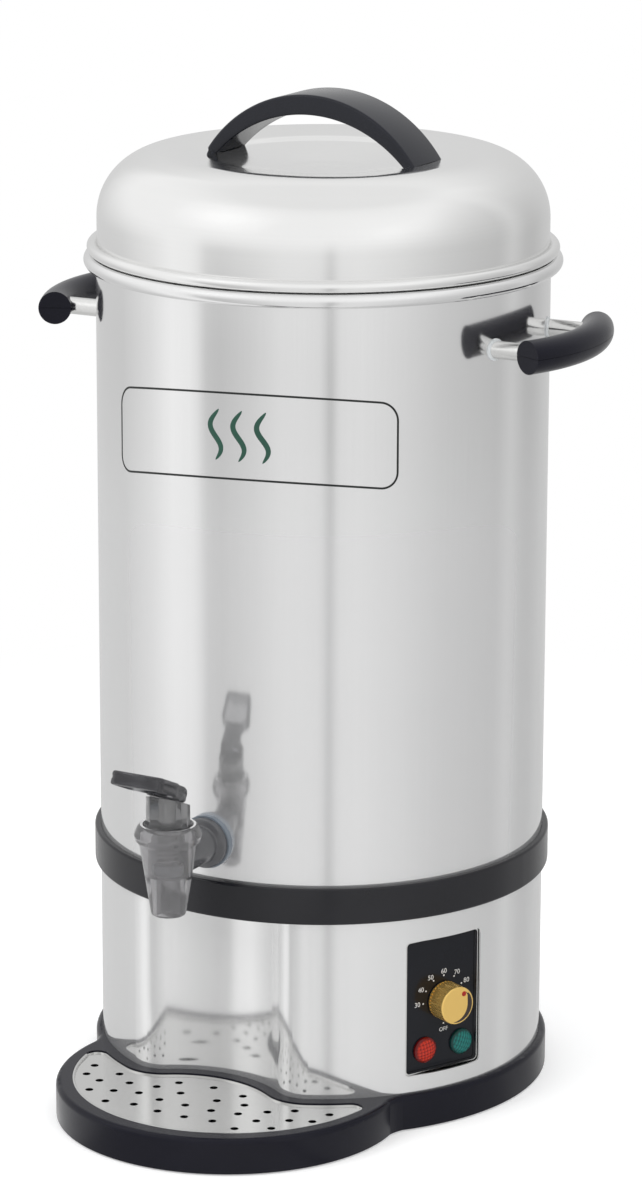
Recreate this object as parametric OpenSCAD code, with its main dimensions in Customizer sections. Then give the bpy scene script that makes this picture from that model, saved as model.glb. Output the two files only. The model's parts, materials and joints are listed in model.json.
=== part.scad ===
// Mulled wine kettle: a steel tank with a lift-off lid, two bow handles, a
// self-closing tap over a drip tray, and a heated lower shell with its controls.
// Millimetres. The kettle's axis is Z, it stands on Z = 0 and the tap faces -Y.
// Azimuths are counted from the tap towards +X.

/* [Tank] */
// Outside diameter of the tank and the lower shell
tank_d = 280; // [270:1:300]
// Height of the tank from the underside of its floor to its rim
tank_h = 377; // [340:1:400]
// Thickness of the sheet steel
sheet = 1; // [0.8:0.1:1.2]
// Radius of the rolled rim
rim_r = 4.4; // [3.8:0.1:5]
// Outside radius of the tank's bottom corner
tank_corner = 8; // [5:0.5:10]

/* [Lower shell] */
// Height of the lower shell
shell_h = 116.5; // [110:0.5:130]
// Depth of the groove in the base that holds the shell
shell_seat = 3; // [2:0.5:4]
// Distance of the mug niche's centre in front of the kettle's axis
niche_c = 184; // [180:1:190]
// Radius of the mug niche
niche_r = 72; // [68:1:74]
// Radius of the niche's rounded edges
niche_edge = 22; // [20:1:26]
// Height of the black joint band
band_h = 23; // [20:0.5:28]
// How far the joint band stands out from the tank
band_out = 3.8; // [3:0.1:5]
// Height of the band's inner ring, which the tank stands on
band_shelf = 12; // [9:0.5:14]
// Width of the band's inner ring
band_in = 12; // [8:0.5:16]

/* [Base and tray] */
// Height of the base moulding
base_h = 22; // [19:0.5:24]
// How far the base stands out round the shell
base_out = 4.2; // [3:0.1:6]
// Radius of the drip tray's lobe
lobe_r = 108; // [105:1:114]
// Distance of the lobe's centre in front of the kettle's axis
lobe_c = 115; // [108:0.5:118]
// Radius of the blend between lobe and ring
neck_r = 30; // [24:1:36]
// Radius of the base's top edge
base_edge = 3.4; // [2:0.1:3.8]
// How far the rubber feet stand proud of the base
foot_proud = 1; // [0.5:0.1:2]
// Diameter of a rubber foot
foot_d = 12; // [10:0.5:13]
// Depth of a foot's socket
foot_seat = 2; // [1.5:0.1:2.5]
// Distance of the front feet from the middle plane
foot_x = 68; // [60:1:72]
// Distance of the front feet in front of the kettle's axis
foot_y = 168; // [160:1:172]
// Thickness of the tray's floor
tray_floor = 3.5; // [3:0.1:4]
// Depth of the grid's plate below the base's top
grid_drop = 1.5; // [1.2:0.1:4]
// Height of the grid's turned-down edge
grid_skirt = 6; // [4:0.5:7]
// Thickness of the grid's plate and edge
grid_t = 1.2; // [0.8:0.1:1.5]
// Height of the grid's bright lip over its plate
grid_lip = 0.8; // [0.4:0.1:1.2]
// Radius of the grid's front edge
grid_r = 99.5; // [92:0.5:101]
// Distance of that edge's centre in front of the kettle's axis
grid_c = 111.5; // [108:0.5:113]
// Width of the base between shell and grid
grid_back = 7.5; // [4:0.5:9]
// Radius of the grid's rounded tips
grid_tip = 7; // [5:0.5:9]
// Diameter of the grid's holes
hole_d = 5; // [4:0.5:6]
// Spacing of the grid's holes
hole_pitch = 17; // [15:0.5:20]

/* [Lid] */
// Radius of the lid's rolled edge
lid_bead = 3.35; // [3:0.05:3.8]
// Height of the lid's straight side above the tank's rim
lid_side = 22; // [18:0.5:26]
// Radius of the lid's shoulder
lid_shoulder = 40; // [36:0.5:44]
// Drop of the lid's top from the shoulder to the recess
lid_fall = 2.5; // [1.5:0.5:4]
// Radius of the recess in the lid
recess_r = 71; // [68:0.5:74]
// Depth of the step at the recess's edge
recess_step = 2.5; // [1.5:0.1:3.5]
// Depth of the dish inside the recess
recess_dish = 7; // [5:0.5:8]
// Radius of the flat middle of the dish
dish_r = 27; // [22:1:32]
// Depth of the skirt inside the tank
skirt_h = 11; // [8:0.5:14]
// Height of the handle's top above the recess's edge
arch_h = 38.5; // [38:0.5:44]
// Thickness of the handle at its top
arch_t = 12.5; // [12:0.5:14]
// Width of the handle
arch_w = 36.5; // [22:0.5:40]
// Outside radius of the handle's arc
arch_r = 87.8; // [86:0.1:90]
// Inside radius of the handle's arc
arch_in_r = 90.8; // [90:0.1:92]
// Turn of the handle from the X axis
arch_turn = 0; // [0:0.5:45]
// Diameter of the screws in the handle's feet
foot_screw = 3; // [2.5:0.1:3]

/* [Side handles] */
// Height of the handles below the rim
grip_down = 42.5; // [36:0.5:60]
// Diameter of a grip
grip_d = 20.5; // [18:0.5:23]
// Distance of a grip's middle from the kettle's axis
grip_mid = 174.2; // [172:0.2:182]
// Radius of a grip's bow
grip_bow = 112; // [105:1:125]
// Half angle of a grip's bow
grip_half = 27; // [25:0.5:28]
// Turn of the pair of handles about the kettle's axis
grip_turn = 2.4; // [-4:0.1:4]
// Diameter of a handle's posts
post_d = 10.8; // [9:0.1:12]
// Distance of a post from the handle's middle
post_x = 38; // [34:0.5:40]
// Diameter of the soft washers at the wall
washer_d = 17; // [15:0.5:18]
// Least thickness of a soft washer
washer_t = 0.8; // [0.6:0.1:1.5]
// Diameter of the handle's screws
screw_d = 5; // [4:0.1:6]

/* [Tap] */
// Distance of the tap's upright axis from the tank's wall
tap_reach = 46.5; // [44:0.5:52]
// Height of the tap's shank above the joint band
tap_up = 24; // [22:0.5:32]
// Diameter of the nozzle's mouth
nozzle_d = 20.5; // [18:0.5:22]
// Length of the nozzle below the shank's axis
nozzle_down = 33; // [30:0.5:36]
// Diameter of the body under the collar
body_d = 36; // [34:0.5:38]
// Height of the body above the shank's axis
body_up = 13.5; // [12:0.5:16]
// Diameter of the collar
collar_d = 41; // [39:0.5:44]
// Height of the collar
collar_h = 10; // [8:0.5:12]
// Diameter of the valve's chamber
chamber_d = 24; // [22:0.5:25]
// Diameter of the outlet's bore
outlet_d = 14; // [12:0.5:15]
// Diameter of the shank outside the wall
shank_d = 23; // [21:0.5:24]
// Diameter of the shank's thread
thread_d = 20; // [18:0.5:21]
// Bore of the shank
shank_bore = 13; // [11:0.5:14]
// Diameter of the shank's flange
flange_d = 31; // [29:0.5:34]
// Thickness of the flange
flange_t = 4; // [3:0.5:5]
// Diameter of the tap's seals
seal_d = 33; // [31:0.5:36]
// Thickness of the tap's seals
seal_t = 3.2; // [2.5:0.1:4]
// Height of the bonnet above the collar
bonnet_h = 14; // [12:0.5:17]
// Width of the bonnet across its flats
bonnet_w = 25; // [23:0.5:27]
// Height of the lever's pin above the bonnet
pin_up = 5.6; // [5.5:0.1:8]
// Diameter of the lever's pin
pin_d = 4; // [3:0.1:4.5]
// Diameter of the stem
stem_d = 7; // [6:0.1:8]
// Width of the lever's head
head_w = 19; // [17:0.5:22]
// Length of the lever from its pin
lever_l = 41.5; // [38:0.5:60]
// Rise of the lever at rest
lever_rise = 24; // [18:0.5:26]
// Thickness of the lever
lever_t = 8.6; // [7:0.1:8.8]
// Width of the lever's paddle
paddle_w = 36; // [28:0.5:40]
// Width of the lever at its neck
neck_w = 16; // [12:0.5:16.5]

/* [Controls] */
// Azimuth of the control panel
panel_az = 64.2; // [60:0.1:68]
// Shift of the panel from the knob's axis
panel_x = -3.8; // [-5:0.1:0]
// Height of the panel's middle above the base
panel_up = 54.2; // [53:0.2:60]
// Width of the panel
panel_w = 53; // [48:0.5:54]
// Height of the panel
panel_h = 84.6; // [80:0.2:88]
// Thickness of the panel
panel_t = 2; // [1.5:0.1:2.5]
// Depth of the panel behind the shell at its sides
panel_deep = 3.4; // [2.6:0.1:4.5]
// Corner radius of the panel
panel_r = 3; // [2:0.5:4]
// Wall of the frame round the panel
frame_t = 1; // [0.8:0.1:1.4]
// Diameter of the knob
knob_d = 24; // [22:0.5:26]
// Height of the knob
knob_h = 14; // [12:0.5:16]
// Clock angle of the knob's dot at rest
knob_at = 33; // [0:1:60]
// Diameter of the thermostat's shaft
shaft_d = 6; // [5:0.1:6.4]
// Diameter of a lamp's lens
lamp_d = 15; // [13:0.5:16]
// Distance of a lamp from the panel's middle
lamp_x = 13.8; // [11:0.1:14]
// Distance of the lamps below the knob
lamp_down = 30; // [28:0.5:32]

/* [Inside] */
// Radius of the heating plate under the tank
plate_r = 78; // [70:1:80]
// Thickness of the heating plate
plate_t = 6; // [4:0.5:7]
// Radius of the heating ring
ring_r0 = 58; // [54:1:62]
// Diameter of the heating ring's tube
ring_d = 8; // [6:0.5:8.5]
// Distance of the tie rods from the kettle's axis
rod_r = 92; // [90:0.5:95]
// Diameter of the tie rods
rod_d = 6; // [5:0.1:7]
// Thickness of the bottom cover
cover_t = 1.2; // [1:0.1:2]
// Height of the cable gland's axis above the base
gland_up = 24; // [20:0.5:40]
// Bore of the cable gland
gland_bore = 9; // [8:0.1:10]
// Thread diameter of the cable gland
gland_d = 16; // [15:0.1:18]

/* [Clearances] */
// Gap between still pieces that fit into one another
fit = 0.15; // [0.1:0.01:0.2]
// Radial gap of a running shaft or pin
run = 0.05; // [0.04:0.01:0.09]
// Gap between pieces that lift off each other
lift_gap = 0.3; // [0.2:0.05:0.4]

/* [Hidden] */
$fn = 96;
over = 1;

tank_r = tank_d / 2;
base_z0 = foot_proud;
base_z1 = base_z0 + base_h;
shell_z0 = base_z1 - shell_seat;
shell_z1 = shell_z0 + shell_h;
band_z1 = shell_z1 + band_h;
tank_z0 = shell_z1 + band_shelf;
rim_z = tank_z0 + tank_h;
lid_z0 = rim_z + lift_gap;

// Steel colours and the rest of the palette
steel = "#c9c9c6";
bright = "#dcdcda";
black = "#17181a";
smoke = "#3a3d42";
gold = "#b9975b";

function polar(r, a) = [r * sin(a), -r * cos(a)];
function unit(v) = v / norm(v);
function mirror_x(v, s) = [s * v[0], v[1]];
// Centre of a circle that lies a from the origin and b from a point d in front
function meet(a, b, d) = let (h = (a * a - b * b + d * d) / (2 * d)) [sqrt(a * a - h * h), -h];

// Plan of the lower shell: a disc with a concave niche in front, its edges
// rounded. The offset o moves the whole outline outwards.
niche_at = [0, -niche_c];
edge_at = meet(tank_r - niche_edge, niche_r + niche_edge, niche_c);

module plan(o = 0) {
    difference() {
        circle(r = tank_r + o);
        translate(niche_at) circle(r = niche_r - o);
        for (s = [-1, 1]) {
            f = mirror_x(edge_at, s);
            u1 = unit(f);
            u2 = unit(niche_at - f);
            reach = niche_edge + o + 20;
            polygon([f, f + reach * u1, f + 1.6 * reach * unit(u1 + u2), f + reach * u2]);
        }
    }
    for (s = [-1, 1]) translate(mirror_x(edge_at, s)) circle(r = niche_edge + o);
}

module layer(z0, z1) { translate([0, 0, z0]) linear_extrude(height = z1 - z0) children(); }

module facing(a) { rotate([0, 0, a]) children(); }

// A cylinder along -Y from one distance to another
module outward(r, y0, y1, x = 0, z = 0) {
    translate([x, -y0, z]) rotate([90, 0, 0]) cylinder(r = r, h = y1 - y0);
}

module rounded(w, h, r) {
    square([w - 2 * r, h], center = true);
    square([w, h - 2 * r], center = true);
    for (sx = [-1, 1], sy = [-1, 1]) translate([sx * (w / 2 - r), sy * (h / 2 - r)]) circle(r = r, $fn = 32);
}

// A flat outline in the X-Z plane, pushed along -Y
module plate(y0, y1, x = 0, z = 0) {
    translate([x, -y0, z]) rotate([90, 0, 0]) linear_extrude(height = y1 - y0) children();
}

// Tank

tap_z = band_z1 + tap_up;
grip_z = rim_z - grip_down;

module handle_holes(r) {
    for (s = [-1, 1], x = [-1, 1]) facing(s * 90 + grip_turn)
        outward(r, tank_r - 30, tank_r + 10, x * post_x, grip_z);
}

// Half section of a flat-bottomed round vessel, filled
module cup_profile(r, z0, corner, z1) {
    translate([0, z0 + corner]) square([r, z1 - z0 - corner]);
    translate([0, z0]) square([r - corner, z1 - z0]);
    translate([r - corner, z0 + corner]) circle(r = corner, $fn = 48);
}

// How far the rolled rim reaches into the tank
rim_curl = 0.3;

module tank() {
    color(steel) difference() {
        rotate_extrude() {
            difference() {
                cup_profile(tank_r, tank_z0, tank_corner, rim_z - rim_r);
                cup_profile(tank_r - sheet, tank_z0 + sheet, tank_corner - sheet, rim_z);
            }
            translate([tank_r - sheet - rim_curl + rim_r, rim_z - rim_r]) circle(r = rim_r, $fn = 48);
        }
        outward(thread_d / 2 + fit, tank_r - 20, tank_r + 10, 0, tap_z);
        handle_holes(screw_d / 2 + fit);
    }
}

// Lower shell, joint band, base

panel_z = base_z1 + panel_up;
cut_w = panel_w + 2 * frame_t + 2 * fit;
cut_h = panel_h + 2 * frame_t + 2 * fit;
gland_z = base_z1 + gland_up;

// The niche's sheet is a pressing of its own, which meets the round wall at the rounded edges
module niche_zone() {
    translate([-edge_at[0], -tank_r - 5]) square([2 * edge_at[0], tank_r]);
}

module lower_shell() {
    color(steel) difference() {
        layer(shell_z0, shell_z1) difference() {
            plan(0);
            plan(-sheet);
            niche_zone();
        }
        facing(panel_az) plate(tank_r - 25, tank_r + 10, panel_x, panel_z) rounded(cut_w, cut_h, panel_r);
        facing(180) outward(gland_d / 2 + fit, tank_r - 20, tank_r + 10, 0, gland_z);
    }
}

module niche_panel() {
    color(steel) {
        layer(shell_z0, shell_z1) intersection() {
            difference() { plan(0); plan(-sheet); }
            niche_zone();
        }
        // Roof of the niche under the joint band
        layer(shell_z1 - sheet, shell_z1) intersection() {
            difference() { circle(r = tank_r); plan(-sheet / 2); }
            niche_zone();
        }
    }
}

module joint_band() {
    e = 1.5;
    color(black) rotate_extrude() {
        translate([tank_r + fit, shell_z1]) square([band_out - fit - e, band_h]);
        translate([tank_r + fit, shell_z1 + e]) square([band_out - fit, band_h - 2 * e]);
        for (z = [shell_z1 + e, band_z1 - e]) translate([tank_r + band_out - e, z]) circle(r = e, $fn = 32);
        translate([tank_r - band_in, shell_z1]) square([band_in + 1, band_shelf]);
    }
}

base_r = tank_r + base_out;
// The blend bites a little into ring and lobe, so that it meets them at an angle
neck_bite = 0.6;
neck_at = meet(base_r + neck_r - neck_bite, lobe_r + neck_r - neck_bite, lobe_c);
lobe_at = [0, -lobe_c];
ledge_z0 = base_z0 + 6.2;
ledge_z1 = ledge_z0 + 3;
bay_in = 6;
rebate_in = 12;
ledge_in = 18;

module edged_disc(r) {
    rotate_extrude() {
        translate([0, base_z0]) square([r, base_h - base_edge]);
        translate([0, base_z0]) square([r - base_edge, base_h]);
        translate([r - base_edge, base_z1 - base_edge]) circle(r = base_edge, $fn = 48);
    }
}

// What the blend between ring and lobe takes away, flared at the top
module neck_cut() {
    rotate_extrude() {
        translate([0, base_z0 - over]) square([neck_r, base_h + 2 * over]);
        difference() {
            translate([neck_r - 0.01, base_z1 - base_edge]) square([base_edge + 0.01, base_edge + over]);
            translate([neck_r + base_edge, base_z1 - base_edge]) circle(r = base_edge, $fn = 48);
        }
    }
}

module base_form() {
    edged_disc(base_r);
    translate([0, -lobe_c, 0]) edged_disc(lobe_r);
    for (s = [-1, 1]) {
        g = mirror_x(neck_at, s);
        difference() {
            layer(base_z0, base_z1) polygon([g, g + (neck_r + 3 * base_edge) * unit(-g), g + (neck_r + 3 * base_edge) * unit(lobe_at - g)]);
            translate([g[0], g[1], 0]) neck_cut();
        }
    }
}

// What rounding takes off each tip of the drip grid: the chords of an arc, carried on past both edges
tip_at = meet(tank_r + grid_back + grid_tip, grid_r - grid_tip, grid_c);
tip_u1 = unit(tip_at - [0, -grid_c]);
tip_u2 = unit(-tip_at);
tip_a1 = atan2(tip_u1[1], tip_u1[0]);
tip_a2 = atan2(tip_u2[1], tip_u2[0]);

function tip_arc(r) = [for (k = [0 : 6]) let (a = tip_a1 + (tip_a2 - tip_a1) * k / 6) tip_at + r * [cos(a), sin(a)]];

module tip_cut(o) {
    q = tip_arc(grid_tip + o);
    far = 2 * grid_tip * unit(tip_u1 + tip_u2);
    polygon([q[0] + 0.8 * (q[0] - q[1]), q[1], q[2], q[3], q[4], q[5], q[6] + 0.8 * (q[6] - q[5]), tip_at + 2 * far]);
}

// Plan of the drip grid: the tray's front arc, and behind it the shell's outline
module grid_plan(o = 0) {
    difference() {
        translate([0, -grid_c]) circle(r = grid_r + o);
        plan(grid_back - o);
        tip_cut(o);
        mirror([1, 0]) tip_cut(o);
    }
}

grid_z = base_z1 - grid_drop;
seat_z = grid_z - grid_skirt;
rear_foot_r = base_r - foot_d / 2 - 1.5;
feet_at = [[-foot_x, -foot_y], [foot_x, -foot_y], polar(rear_foot_r, 140), polar(rear_foot_r, -140)];

module base() {
    color(black) difference() {
        base_form();
        layer(shell_z0, base_z1 + over) difference() { plan(fit); plan(-sheet - fit); }
        layer(ledge_z1, base_z1 + over) plan(-bay_in);
        layer(ledge_z0 - over, ledge_z1 + over) plan(-ledge_in);
        layer(base_z0 - over, ledge_z0) plan(-rebate_in);
        layer(seat_z, base_z1 + over) grid_plan(lift_gap);
        layer(base_z0 + tray_floor, seat_z + over) grid_plan(-grid_t - 2);
        for (p = feet_at) translate([p[0], p[1], base_z0 - over]) cylinder(d = foot_d, h = foot_seat + over);
    }
}

module feet() {
    color("#2b2b2d") for (p = feet_at) translate([p[0], p[1], 0]) cylinder(d = foot_d - 2 * fit, h = foot_proud + foot_seat);
}

// Turned clear of the niche, the thermostat and the cord's way in
rods_at = [for (a = [45, 165, 285]) polar(rod_r, a)];
cover_z0 = ledge_z0 - cover_t;

module bottom_cover() {
    color(bright) difference() {
        layer(cover_z0, ledge_z0) plan(-rebate_in - 2 * fit);
        for (p = rods_at) translate([p[0], p[1], cover_z0 - over]) cylinder(d = rod_d + 2 * fit, h = cover_t + 2 * over);
    }
}

// Holes of one half of the grid: distance from the middle plane and from the tray's centre, for a spacing of 17
hole_rows = [
    [0, 24], [23, 27.5], [42.5, 31.5], [63, 33], [84.5, 28],
    [13, 42], [31.5, 40], [49.5, 43], [68, 48.5], [81, 43],
    [0, 58], [18.5, 58], [35.5, 54.5], [51, 59], [65, 65],
    [9.5, 75], [28, 72.5], [46, 76.5]];
function in_grid(p, m) = norm(p - [0, -grid_c]) < grid_r - m && abs(p[0]) < tip_at[0]
    && (norm(p) > tank_r + grid_back + m || norm(p - niche_at) < niche_r - grid_back - m);

module drip_grid() {
    m = hole_d / 2 + grid_t + 2.5;
    spots = [for (h = hole_rows, s = h[0] == 0 ? [1] : [-1, 1])
        let (p = [s * h[0] * hole_pitch / 17, -grid_c + 1 - h[1] * hole_pitch / 17])
        if (in_grid(p, m)) p];
    color(bright) difference() {
        union() {
            layer(grid_z - grid_t, grid_z) grid_plan(0);
            layer(seat_z, grid_z + grid_lip) difference() { grid_plan(0); grid_plan(-grid_t); }
        }
        for (p = spots) translate([p[0], p[1], grid_z - grid_t - over]) cylinder(d = hole_d, h = grid_t + 2 * over, $fn = 24);
    }
}

// Lid

lid_r = tank_r - 0.8;
lid_top_z = rim_z + lid_side + lid_shoulder;
lid_flat_r = lid_r - lid_shoulder;
recess_z = lid_top_z - lid_fall;
step_z = recess_z - recess_step;
dish_z = step_z - recess_dish;
skirt_r = tank_r - sheet - rim_curl - 0.8;
step_r = recess_r - 3;

// The lid's top runs up from the recess to a narrow level land inside the shoulder
crest_r = lid_flat_r - 3;
crest_z = lid_top_z;

// Half section of the lid's dome, filled down to z0, drawn in by t
module dome_profile(t, z0) {
    zs = rim_z + lid_side;
    high = lid_top_z + 5;
    difference() {
        union() {
            translate([0, z0]) square([lid_r - t, zs - z0]);
            translate([lid_flat_r, zs]) intersection() {
                circle(r = lid_shoulder - t);
                square(2 * lid_shoulder);
            }
            translate([0, z0]) square([lid_flat_r, lid_top_z - t - z0]);
        }
        polygon([[-1, dish_z - t], [dish_r, dish_z - t], [step_r, step_z - t], [recess_r, recess_z - t],
            [crest_r, crest_z - t], [crest_r, high], [-1, high]]);
    }
}

function dish_at(r) = dish_z + (step_z - dish_z) * (r - dish_r) / (step_r - dish_r);

// Level web that joins skirt, wall and rolled edge
web_z = lid_z0 + lid_bead - sheet / 2;
bead_at = lid_r - sheet / 2 + lid_bead;

arch_z = recess_z + arch_h - arch_r;
arch_in_z = recess_z + arch_h - arch_t - arch_in_r;
foot_r = recess_r - 2.7;
arch_feet = [for (s = [0, 180]) [foot_r * cos(arch_turn + s), foot_r * sin(arch_turn + s)]];

module lid() {
    color(bright) difference() {
        rotate_extrude() {
            difference() {
                dome_profile(0, web_z + sheet / 2);
                dome_profile(sheet, web_z - over);
            }
            translate([skirt_r - sheet, rim_z - skirt_h]) square([sheet, web_z + sheet - rim_z + skirt_h]);
            translate([skirt_r - sheet / 2, web_z]) square([bead_at - skirt_r + sheet / 2, sheet]);
            translate([bead_at, lid_z0 + lid_bead]) circle(r = lid_bead, $fn = 48);
        }
        for (p = arch_feet) translate([p[0], p[1], dish_z - 10]) cylinder(d = foot_screw + 2 * fit, h = 30, $fn = 48);
    }
}

// A crescent between two arcs, cut off where it meets the lid's top
module lid_handle() {
    color(black) difference() {
        rotate([0, 0, arch_turn]) rotate([90, 0, 0]) translate([0, 0, -arch_w / 2]) linear_extrude(height = arch_w) difference() {
            translate([0, arch_z]) circle(r = arch_r, $fn = 180);
            translate([0, arch_in_z]) circle(r = arch_in_r, $fn = 180);
        }
        rotate_extrude() {
            past = max(crest_r, arch_r + arch_w);
            polygon([[0, dish_z - 80], [0, dish_z], [dish_r, dish_z], [step_r, step_z], [recess_r, recess_z],
                [crest_r, crest_z], [past, crest_z], [past, dish_z - 80]]);
        }
        for (p = arch_feet) translate([p[0], p[1], dish_z - 10]) cylinder(d = foot_screw + 2 * run, h = recess_z - dish_z + 10 + 2.5, $fn = 48);
    }
}

module lid_handle_screws() {
    head = 0.9 * foot_screw;
    z = dish_at(foot_r - head) - sheet - fit;
    color(bright) for (p = arch_feet) translate([p[0], p[1], z]) {
        translate([0, 0, -2]) cylinder(r = head, h = 2, $fn = 48);
        translate([0, 0, -0.1]) cylinder(d = foot_screw, h = recess_z + 2 - z, $fn = 48);
    }
}

// Side handles, built facing -Y

post_wall = sqrt(pow(tank_r, 2) - pow(post_x - washer_d / 2, 2)) + washer_t;
inner_seat = sqrt(pow(tank_r - sheet, 2) - pow(post_x + washer_d / 2, 2)) - washer_t;
// The handles keep to the wall: grip_mid is the reach on a tank of 280 mm
grip_c = grip_mid + tank_r - 140 - grip_bow;
post_end = grip_c + sqrt(pow(grip_bow, 2) - pow(post_x, 2)) + 3;
seam = 0.1;
nut_x = 22;
nut_y = grip_c + sqrt(pow(grip_bow, 2) - pow(nut_x, 2));

module posts() {
    color(bright) for (s = [-1, 1]) difference() {
        outward(post_d / 2, post_wall, post_end, s * post_x, grip_z);
        outward(screw_d / 2 + run, post_wall - over, post_wall + 14, s * post_x, grip_z);
    }
}

module grip(up) {
    color(black) difference() {
        translate([0, -grip_c, grip_z]) rotate([0, 0, -90 - grip_half]) rotate_extrude(angle = 2 * grip_half)
            translate([grip_bow, 0]) intersection() {
                circle(d = grip_d, $fn = 64);
                translate([-grip_d, up ? seam : -grip_d]) square([2 * grip_d, grip_d - seam]);
            }
        for (s = [-1, 1]) {
            outward(post_d / 2 + run, post_wall, post_end + run, s * post_x, grip_z);
            translate([s * nut_x, -nut_y, grip_z]) {
                translate([0, 0, up ? -1 : -grip_d]) cylinder(d = 3 + 2 * run, h = up ? 6.5 : 2 * grip_d, $fn = 32);
                if (!up) translate([0, 0, -grip_d]) cylinder(d = 6, h = grip_d - 4, $fn = 32);
            }
        }
    }
}

module grip_screws() {
    color(bright) for (s = [-1, 1]) translate([s * nut_x, -nut_y, grip_z]) {
        translate([0, 0, -4]) cylinder(d = 3, h = 9, $fn = 32);
        translate([0, 0, -6]) cylinder(d = 5.6, h = 2, $fn = 32);
    }
}

module washers() {
    color("#e8ecec") for (s = [-1, 1]) {
        difference() {
            outward(washer_d / 2, tank_r - 20, post_wall, s * post_x, grip_z);
            translate([0, 0, grip_z - 30]) cylinder(r = tank_r, h = 60);
            outward(screw_d / 2 + fit, tank_r - 25, tank_r + 20, s * post_x, grip_z);
        }
        intersection() {
            difference() {
                outward(washer_d / 2, inner_seat, tank_r, s * post_x, grip_z);
                outward(screw_d / 2 + fit, tank_r - 25, tank_r + 20, s * post_x, grip_z);
            }
            translate([0, 0, grip_z - 30]) cylinder(r = tank_r - sheet, h = 60);
        }
    }
}

screw_in = 12;
screw_head = 3;
module wall_screws() {
    color(bright) for (s = [-1, 1]) {
        outward(screw_d / 2, inner_seat - 0.1, post_wall + screw_in, s * post_x, grip_z);
        outward(screw_d * 1.1, inner_seat - screw_head, inner_seat, s * post_x, grip_z);
    }
}

left_at = -90 + grip_turn;
right_at = 90 + grip_turn;
module left_posts() { facing(left_at) posts(); }
module left_grip_upper() { facing(left_at) grip(true); }
module left_grip_lower() { facing(left_at) grip(false); }
module left_washers() { facing(left_at) washers(); }
module left_screws() { facing(left_at) wall_screws(); }
module left_grip_screws() { facing(left_at) grip_screws(); }
module right_posts() { facing(right_at) posts(); }
module right_grip_upper() { facing(right_at) grip(true); }
module right_grip_lower() { facing(right_at) grip(false); }
module right_washers() { facing(right_at) washers(); }
module right_screws() { facing(right_at) wall_screws(); }
module right_grip_screws() { facing(right_at) grip_screws(); }

// Tap

tap_r = tank_r + tap_reach;
nozzle_z = tap_z - nozzle_down;
collar_z0 = tap_z + body_up;
collar_z1 = collar_z0 + collar_h;
valve_z = tap_z - shank_bore / 2 - 1;
bonnet_z1 = collar_z1 + bonnet_h;
pin_z = bonnet_z1 + pin_up;
plug_h = 8;
seal_y = tank_r + seal_t;
nut_y0 = sqrt(pow(tank_r - sheet, 2) - pow(seal_d / 2, 2)) - seal_t;
nut_t = 6;

// The collar is a shallow bowl, and the bonnet stands in it
bowl = 4;
bowl_r = bonnet_w / 2 / cos(22.5) + 0.6;
bowl_top = collar_d / 2 - 4.2;
// The bonnet's top falls to the rear, under the raised lever
bonnet_fall = lever_rise - 5;

module tap_body() {
    color(smoke) difference() {
        union() {
            translate([0, -tap_r, 0]) rotate_extrude() polygon([[0, nozzle_z], [nozzle_d / 2, nozzle_z], [body_d / 2, collar_z0],
                [collar_d / 2 - 1.6, collar_z0], [collar_d / 2, collar_z0 + 0.35 * collar_h], [collar_d / 2, collar_z0 + 0.5 * collar_h],
                [collar_d / 2 - 3, collar_z1], [0, collar_z1]]);
            outward(shank_d / 2, seal_y, tap_r, 0, tap_z);
            outward(flange_d / 2, seal_y, seal_y + flange_t, 0, tap_z);
            outward(thread_d / 2, nut_y0 - nut_t - 3, seal_y + 1, 0, tap_z);
        }
        translate([0, -tap_r, valve_z]) cylinder(d = chamber_d, h = collar_z1 - valve_z + over);
        translate([0, -tap_r, collar_z1 - bowl]) cylinder(r1 = bowl_r, r2 = bowl_r + (bowl_top - bowl_r) * (bowl + over) / bowl, h = bowl + over);
        translate([0, -tap_r, nozzle_z - over]) cylinder(d = outlet_d, h = valve_z - nozzle_z + 2 * over);
        outward(shank_bore / 2, nut_y0 - nut_t - 4, tap_r, 0, tap_z);
    }
}

module tap_bonnet() {
    color(smoke) difference() {
        union() {
            translate([0, -tap_r, collar_z1 - plug_h]) cylinder(d = chamber_d - 2 * fit, h = plug_h);
            translate([0, -tap_r, collar_z1 - bowl]) rotate([0, 0, 22.5]) cylinder(d = bonnet_w / cos(22.5), h = bowl + bonnet_h + 8, $fn = 8);
        }
        translate([0, -tap_r, bonnet_z1]) rotate([-bonnet_fall, 0, 0]) translate([-30, -30, 0]) cube([60, 60, 30]);
        translate([0, -tap_r, collar_z1 - plug_h - over]) cylinder(d = stem_d + 2 * run, h = plug_h + bonnet_h + 8 + 2 * over);
    }
}

// The stem hangs from the lever's pin, and its top stands a little over the pin
stem_top = stem_d * 0.37;
stem_eye = stem_d * 0.4;
cup_d = outlet_d + 4;
cup_h = 7;
cup_z0 = valve_z + lift_gap;
stem_foot = cup_z0 + 2;

module tap_stem() {
    color(bright) difference() {
        translate([0, -tap_r, stem_foot]) cylinder(d = stem_d, h = pin_z - stem_foot + stem_top);
        translate([0, -tap_r, pin_z]) rotate([0, 90, 0]) cylinder(d = pin_d, h = 2 * stem_d, center = true);
        // Flats of the eye
        for (s = [0, 180]) translate([0, -tap_r, pin_z - 6.2]) rotate([0, 0, s]) translate([-stem_d, stem_eye, 0]) cube([2 * stem_d, stem_d, 6.2 + stem_top + over]);
    }
}

module tap_seat_cup() {
    color("#e3e6e6") translate([0, -tap_r, 0]) difference() {
        union() {
            translate([0, 0, cup_z0]) cylinder(d1 = cup_d - 2, d2 = cup_d, h = 3);
            translate([0, 0, cup_z0 + 3]) cylinder(d = cup_d, h = cup_h - 3);
        }
        translate([0, 0, stem_foot]) cylinder(d = stem_d, h = cup_h);
    }
}

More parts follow.
